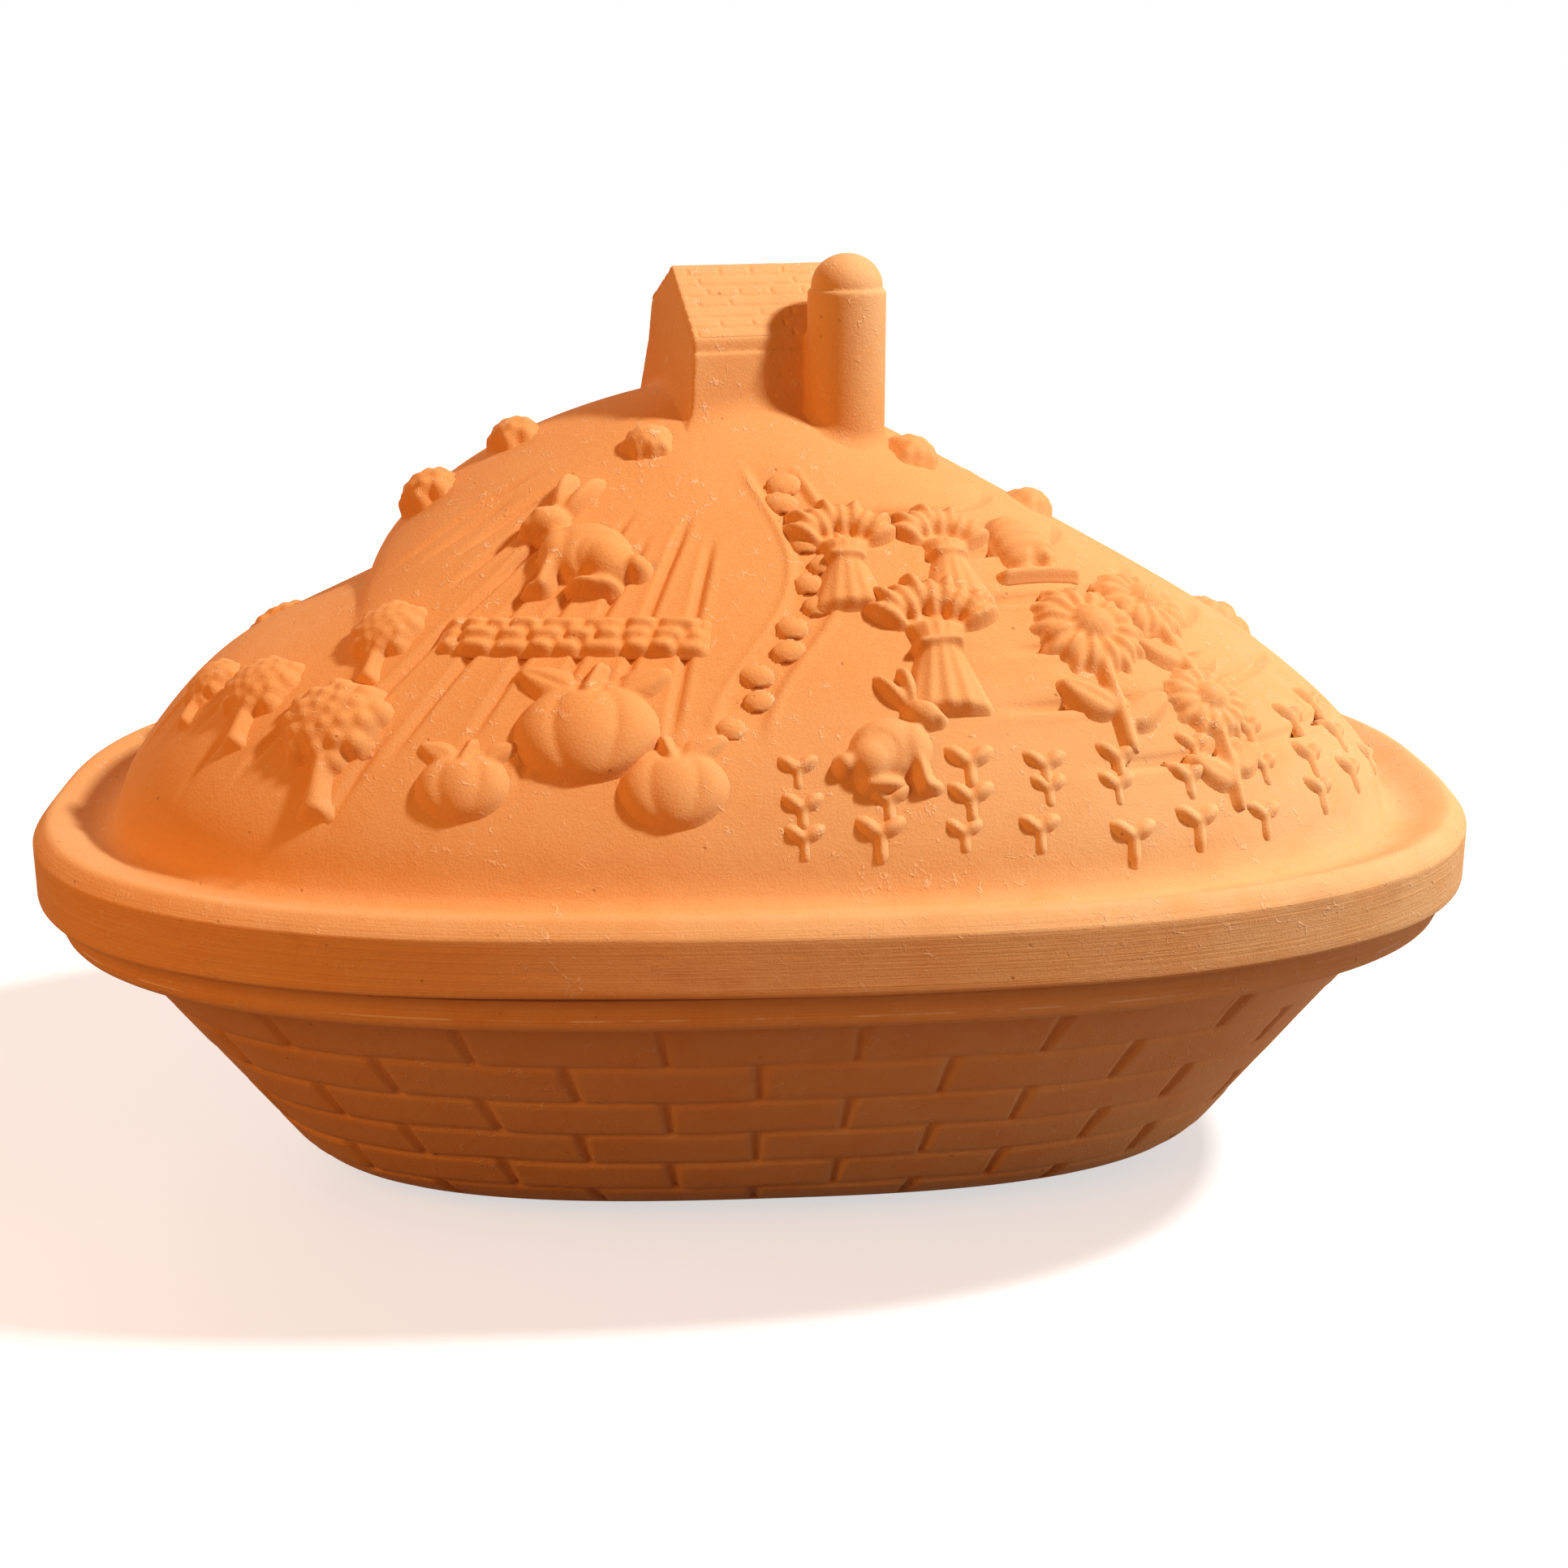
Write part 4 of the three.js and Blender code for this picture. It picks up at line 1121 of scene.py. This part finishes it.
def makeStoneWall():
    # a strip along a smooth path on the hill: w runs along it and v up its face, with a cushion for each
    # stone, the root of (1 - |2a - 1|^n)(1 - |2b - 1|^n), where a and b run from 0 to 1 over the stone
    chance = np.random.default_rng(stoneWall["seed"])
    knots = np.array([hillSpot(*spot) for spot in stoneWall["path"]])
    at = np.linspace(0, len(knots) - 1, 400)
    fits = [np.polyfit(np.arange(len(knots)), knots[:, axis], 3) for axis in (0, 1)]
    path = np.stack([np.polyval(fit, at) for fit in fits], -1)
    path = np.column_stack([path, hillHeight(*path.T)])
    run = runAlong(path)
    length = run[-1]
    cell, margin = largeRelief["cell"], stoneWall["margin"]
    w = np.linspace(0, length, int(length / cell))
    tall = stoneWall["courses"] * stoneWall["courseHeight"]
    v = np.linspace(-margin, tall + margin, int((tall + 2 * margin) / cell))
    line = pointsAt(path, run, w)
    side = np.cross(hillNormal(line[:, 0], line[:, 1]), unit(np.gradient(line, axis=0)))
    spread = line[:, None, :] + side[:, None, :] * (v - tall / 2)[None, :, None]
    course = np.clip(np.floor(v / stoneWall["courseHeight"]), 0, stoneWall["courses"] - 1).astype(int)
    height = np.zeros((len(w), len(v)))
    count, power = stoneWall["stones"], stoneWall["cushion"]
    for row in range(stoneWall["courses"]):
        ends = np.cumsum(chance.uniform(*stoneWall["stone"], count))
        ends = np.append(-20, ends - chance.uniform(0, stoneWall["firstCut"]))
        stone = np.searchsorted(ends, w) - 1
        across = (w - ends[stone]) / (ends[stone + 1] - ends[stone])
        up = v[course == row] / stoneWall["courseHeight"] - row
        pillow = (1 - np.abs(2 * across - 1) ** power)[:, None] * (1 - np.abs(2 * up - 1) ** power)[None, :]
        size = chance.uniform(*stoneWall["proud"], count + 1)[stone][:, None]
        height[:, course == row] = stoneWall["rise"] * size * np.sqrt(np.maximum(0, pillow))
    fade = smoothStep(0, stoneWall["fade"], w) * (1 - smoothStep(length - stoneWall["fade"], length, w))
    height = height * fade[:, None]
    for _ in range(largeRelief["soften"]):
        height[:, 1:-1] = (height[:, :-2] + 2 * height[:, 1:-1] + height[:, 2:]) / 4
        height[1:-1] = (height[:-2] + 2 * height[1:-1] + height[2:]) / 4
    points = offHill(spread[..., 0], spread[..., 1], height - largeRelief["sink"])
    addRelief("stoneWall", [(points.reshape(-1, 3), gridQuads(height.shape))], largeRelief["thickness"])


makeStoneWall()

dish = dict(
    sectors=880,
    frontShare=0.25,
    beadInset=lidHigh[0] - dishHigh[0],
    beadHeight=9.5,
    beadDrop=1.5,  # the bead's rounded underside hangs this far below its root
    beadOverhang=9.5,
    beadRound=3.5,
    rimRound=2.2,
    lipRound=2,
    sideRow=3.4,  # a row of points on the bead's side, this far below the rim
    drawIn=53.5,
    footRound=37,
    insideRound=28,
    wall=9,
    floor=9,
    # rows of points: by each bed joint, at shares of a course, under the bead, and from where on by what step
    rowsNear=(-1.8, -0.9, 0, 0.9, 1.8),
    rowsBetween=(0.24, 0.38, 0.52, 0.66, 0.78),
    rowsTop=(2.1, 3.2),
    rowsLow=(94, 3.5),
    bricks=dict(
        courses=6,
        firstBed=6.6,  # down the wall from under the bead
        courseHeight=16.4,
        courseShrink=0.9,
        length=45.8,  # at the front and back, in the top course
        lengthShrink=1.25,
        shift=-4,
        sideWidth=(2.4, 1.2),  # half width at the top and the bottom of a course
        sideDepth=1.35,
        bedWidth=0.8,
        bedDepth=0.8,
        waves=[(0.3, 9, 0), (0.2, 23, 1)],
        lean=(-0.5, 0.5),
        proud=(-0.2, 0.25),
        soft=0.6,  # the ends of a side joint
        edge=2,  # the rounded edges of a brick
    ),
    seed=3,
)


def bedJoints():
    # distances down the wall: each course is a little lower than the one above it
    bricks = dish["bricks"]
    heights = bricks["courseHeight"] - bricks["courseShrink"] * np.arange(bricks["courses"])
    return bricks["firstBed"] + np.append(0, np.cumsum(heights))


def brickRelief(turns, wallRows, down):
    # bed joints lie along the rings. Side joints stand at whole bricks, counted round the middle of each
    # course from the front: a sine gives the bricks at the front and back their set length, an even number in
    # all keeps the bond alike there, and every second course is shifted by half a brick
    bricks = dish["bricks"]
    chance = np.random.default_rng(dish["seed"])
    beds = bedJoints()
    soft = bricks["soft"]
    front = (turns + np.pi / 2) % (2 * np.pi)
    level = down[:, None] + waver(front, bricks["waves"])
    depth = -bricks["bedDepth"] * sum(bell(level - bed, bricks["bedWidth"]) for bed in beds)
    for course, (top, bottom) in enumerate(zip(beds[:-1], beds[1:])):
        inset = np.interp((top + bottom) / 2, down[::-1], wallRows[::-1, 0])
        ring = ovalRings(turns, [inset], [0])[0]
        steps = np.linalg.norm(np.roll(ring, -1, 0) - ring, axis=-1)
        around = steps.sum()
        number = around / (bricks["length"] - bricks["lengthShrink"] * course)
        count = 2 * int(round(number / 2))
        share = (np.cumsum(steps) - steps - bricks["shift"]) / around
        swing = (number - count) / (4 * np.pi)
        place = count * share + swing * np.sin(4 * np.pi * share) + 0.5 * (course % 2 == 0)
        nearest = np.round(place)
        pitch = around / (count + (number - count) * np.cos(4 * np.pi * share))
        lean = chance.uniform(*bricks["lean"], count)[nearest.astype(int) % count]
        fall = np.clip((level - top) / (bottom - top), 0, 1)
        away = np.abs((place - nearest) * pitch + lean * (fall - 0.5))
        width = bricks["sideWidth"][0] + (bricks["sideWidth"][1] - bricks["sideWidth"][0]) * fall
        ended = smoothStep(bottom - soft, bottom + soft, level)
        shown = smoothStep(top - soft, top + soft, level) * (1 - ended)
        depth -= bricks["sideDepth"] * shown * np.maximum(0, 1 - (away / width) ** 2) ** 1.3
        proud = chance.uniform(*bricks["proud"], count)[np.floor(place).astype(int) % count]
        depth += proud * shown * smoothStep(width, width + bricks["edge"], away)
    return depth


def makeDish():
    turns = spreadTurns(dish["sectors"], dish["frontShare"])
    coarse = turns[::4]
    bead = dish["beadInset"]
    rimZ = dishHigh[2]
    wallTop = np.array([bead + dish["beadOverhang"], rimZ - dish["beadHeight"]])
    footCorner = np.array([wallTop[0] + dish["drawIn"], dishLow[2]])
    arc = roundCorner(wallTop, footCorner, footCorner + [1, 0], dish["footRound"], 40)
    # rows of the outside, by distance down the wall, thick about the joints
    fine = np.concatenate([np.linspace(wallTop, arc[0], 60)[:-1], arc])
    run = runAlong(fine)
    joints = bedJoints()
    near = (joints[:, None] + dish["rowsNear"]).ravel()
    courses = (joints[:-1, None] + np.diff(joints)[:, None] * dish["rowsBetween"]).ravel()
    low = np.arange(dish["rowsLow"][0], run[-1], dish["rowsLow"][1])
    down = np.unique(np.concatenate([dish["rowsTop"], near, courses, low, [run[-1]]]))[::-1]
    wall = pointsAt(fine, run, down)
    wallRings = ovalRings(turns, wall[:, 0], wall[:, 1])
    wallRings = wallRings + gridNormals(wallRings) * brickRelief(turns, wall, down)[..., None]
    # foot: the lowest ring drawn to the middle
    footRing = ovalRings(coarse, wall[:1, 0], [dishLow[2]])[0]
    footRings = footRing * np.array([0.35, 0.7, 0.97])[:, None, None]
    footRings[..., 2] = dishLow[2]
    # bead, mouth and inside
    slope = dish["drawIn"] / (rimZ - dish["beadHeight"])
    across = dish["wall"] * np.hypot(1, slope)
    mouth = wallTop[0] + across - dish["beadHeight"] * slope
    floorZ = dishLow[2] + dish["floor"]
    insideFoot = (wallTop[0] + across + (wallTop[1] - floorZ) * slope, floorZ)
    under = wallTop[1] - dish["beadDrop"]
    beadLow = roundCorner((wallTop[0], under), (bead, under), (bead, rimZ), dish["beadRound"], 6)
    beadHigh = roundCorner((bead, under), (bead, rimZ), (mouth, rimZ), dish["rimRound"], 5)
    lip = roundCorner((bead, rimZ), (mouth, rimZ), insideFoot, dish["lipRound"], 4)
    root = [(wallTop[0] - 1, under + 0.2)]
    side = [(bead, rimZ - dish["sideRow"])]
    rim = np.concatenate([root, beadLow, side, beadHigh, lip])
    rimRings = ovalRings(turns, rim[:, 0], rim[:, 1])
    inner = roundCorner(lip[-1], insideFoot, (insideFoot[0] + 1, floorZ), dish["insideRound"], 12)
    inner = np.concatenate([np.linspace(lip[-1], inner[0], 14)[1:-1], inner])
    innerRings = ovalRings(coarse, inner[:, 0], inner[:, 1])
    innerFloor = innerRings[-1] * np.array([0.7, 0.35])[:, None, None]
    innerFloor[..., 2] = floorZ
    rings = [np.array([[0, 0, dishLow[2]]]), *footRings, *wallRings, *rimRings, *innerRings, *innerFloor]
    rings.append(np.array([[0, 0, floorZ]]))
    streaks = np.zeros(len(rings))
    start = 1 + len(footRings) + len(wallRings)
    highlightRow = start + len(beadLow)
    streaks[start:highlightRow + 2] = 0.8
    streaks[highlightRow] = 2  # a painted highlight runs along the bead
    streaks[highlightRow + 2:highlightRow + 2 + len(beadHigh)] = -1  # and painted shade darkens the gap under the lid
    piece = addShell("dishShell", rings, streaks, "dish", dishClay)
    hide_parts("dish")


makeDish()

studio = dict(
    floorHalf=6.0,  # metres
    floorShown=(0.55, 0.55, 0.55),  # towards the camera, under the white below
    floorWhite=(0.25, 0.75, 0.62, 1.0),  # from and to in metres, and the white added at each
    floorBounce=(0.2, 0.1, 0.055),  # what it throws back at the baker
    ambient=(1.0, 0.42, 0.16),
    ambientStrength=0.27,
    key=dict(place=(0.8, -0.245, 1.1), size=0.11, watts=18.0, colour=(1.0, 1.04, 1.06)),
    fill=dict(place=(-0.55, -0.5, 0.45), size=0.45, watts=2.9, colour=(1.0, 0.47, 0.11)),
    side=dict(place=(1.35, -0.3, 0.3), size=0.6, watts=3.4, colour=(1.0, 0.97, 0.95)),
    rear=dict(place=(-0.5, 1.0, 0.8), size=0.7, watts=4.0, colour=(1.0, 0.9, 0.8)),
)


def splitRays(tree, lighting, shown, output):
    # one shader lights the baker, and the other is what the background shows: to the camera, mirrored or
    # through glass
    rays = addNode(tree, "LightPath", {}).outputs
    share = rays["Is Camera Ray"]
    for ray in ("Is Glossy Ray", "Is Transmission Ray"):
        share = addNode(tree, "Math", {0: share, 1: rays[ray]}, operation="MAXIMUM").outputs[0]
    mix = addNode(tree, "MixShader", {0: share, 1: lighting.outputs[0], 2: shown.outputs[0]})
    setSockets(tree, tree.nodes[output], {"Surface": mix.outputs[0]})


def makeStudio():
    # floor: a pale plane that shows the baker's shadow, whiter far from the baker
    mesh = bpy.data.meshes.new("floor")
    half = studio["floorHalf"]
    corners = [(-half, -half, 0), (half, -half, 0), (half, half, 0), (-half, half, 0)]
    mesh.from_pydata(corners, [], [(0, 1, 2, 3)])
    floor = bpy.data.objects.new("floor", mesh)
    bpy.context.scene.collection.objects.link(floor)
    paper = bpy.data.materials.new("paper")
    paper.use_nodes = True
    tree = paper.node_tree
    place = addNode(tree, "TexCoord", {}).outputs["Object"]
    distance = addNode(tree, "VectorMath", {0: place}, operation="LENGTH").outputs["Value"]
    sockets = dict(zip(("From Min", "From Max", "To Min", "To Max"), studio["floorWhite"]), Value=distance)
    white = addNode(tree, "MapRange", sockets, interpolation_type="SMOOTHSTEP").outputs["Result"]
    shown = tree.nodes["Principled BSDF"]
    setSockets(tree, shown, {
        "Base Color": (*studio["floorShown"], 1),
        "Roughness": 1,
        "Specular IOR Level": 0,
        "Emission Color": (1, 1, 1, 1),
        "Emission Strength": white,
    })
    bounce = addNode(tree, "BsdfDiffuse", {"Color": (*studio["floorBounce"], 1)})
    splitRays(tree, bounce, shown, "Material Output")
    mesh.materials.append(paper)
    # world: white behind the floor, a soft warm level on the object
    world = bpy.data.worlds.new("studio")
    world.use_nodes = True
    tree = world.node_tree
    soft = tree.nodes["Background"]
    setSockets(tree, soft, {"Color": (*studio["ambient"], 1), "Strength": studio["ambientStrength"]})
    splitRays(tree, soft, addNode(tree, "Background", {"Color": (1, 1, 1, 1)}), "World Output")
    bpy.context.scene.world = world
    for name in ("key", "fill", "side", "rear"):
        lamp = studio[name]
        data = bpy.data.lights.new(name, "AREA")
        data.size = lamp["size"]
        data.energy = lamp["watts"]
        data.color = lamp["colour"]
        back = unit(np.array(lamp["place"]) - [0, 0, view["aimHeight"] * mm])
        standAt(name, data, unit(np.cross([0, 0, 1], back)), back, lamp["place"])


makeStudio()
print("studio lit")
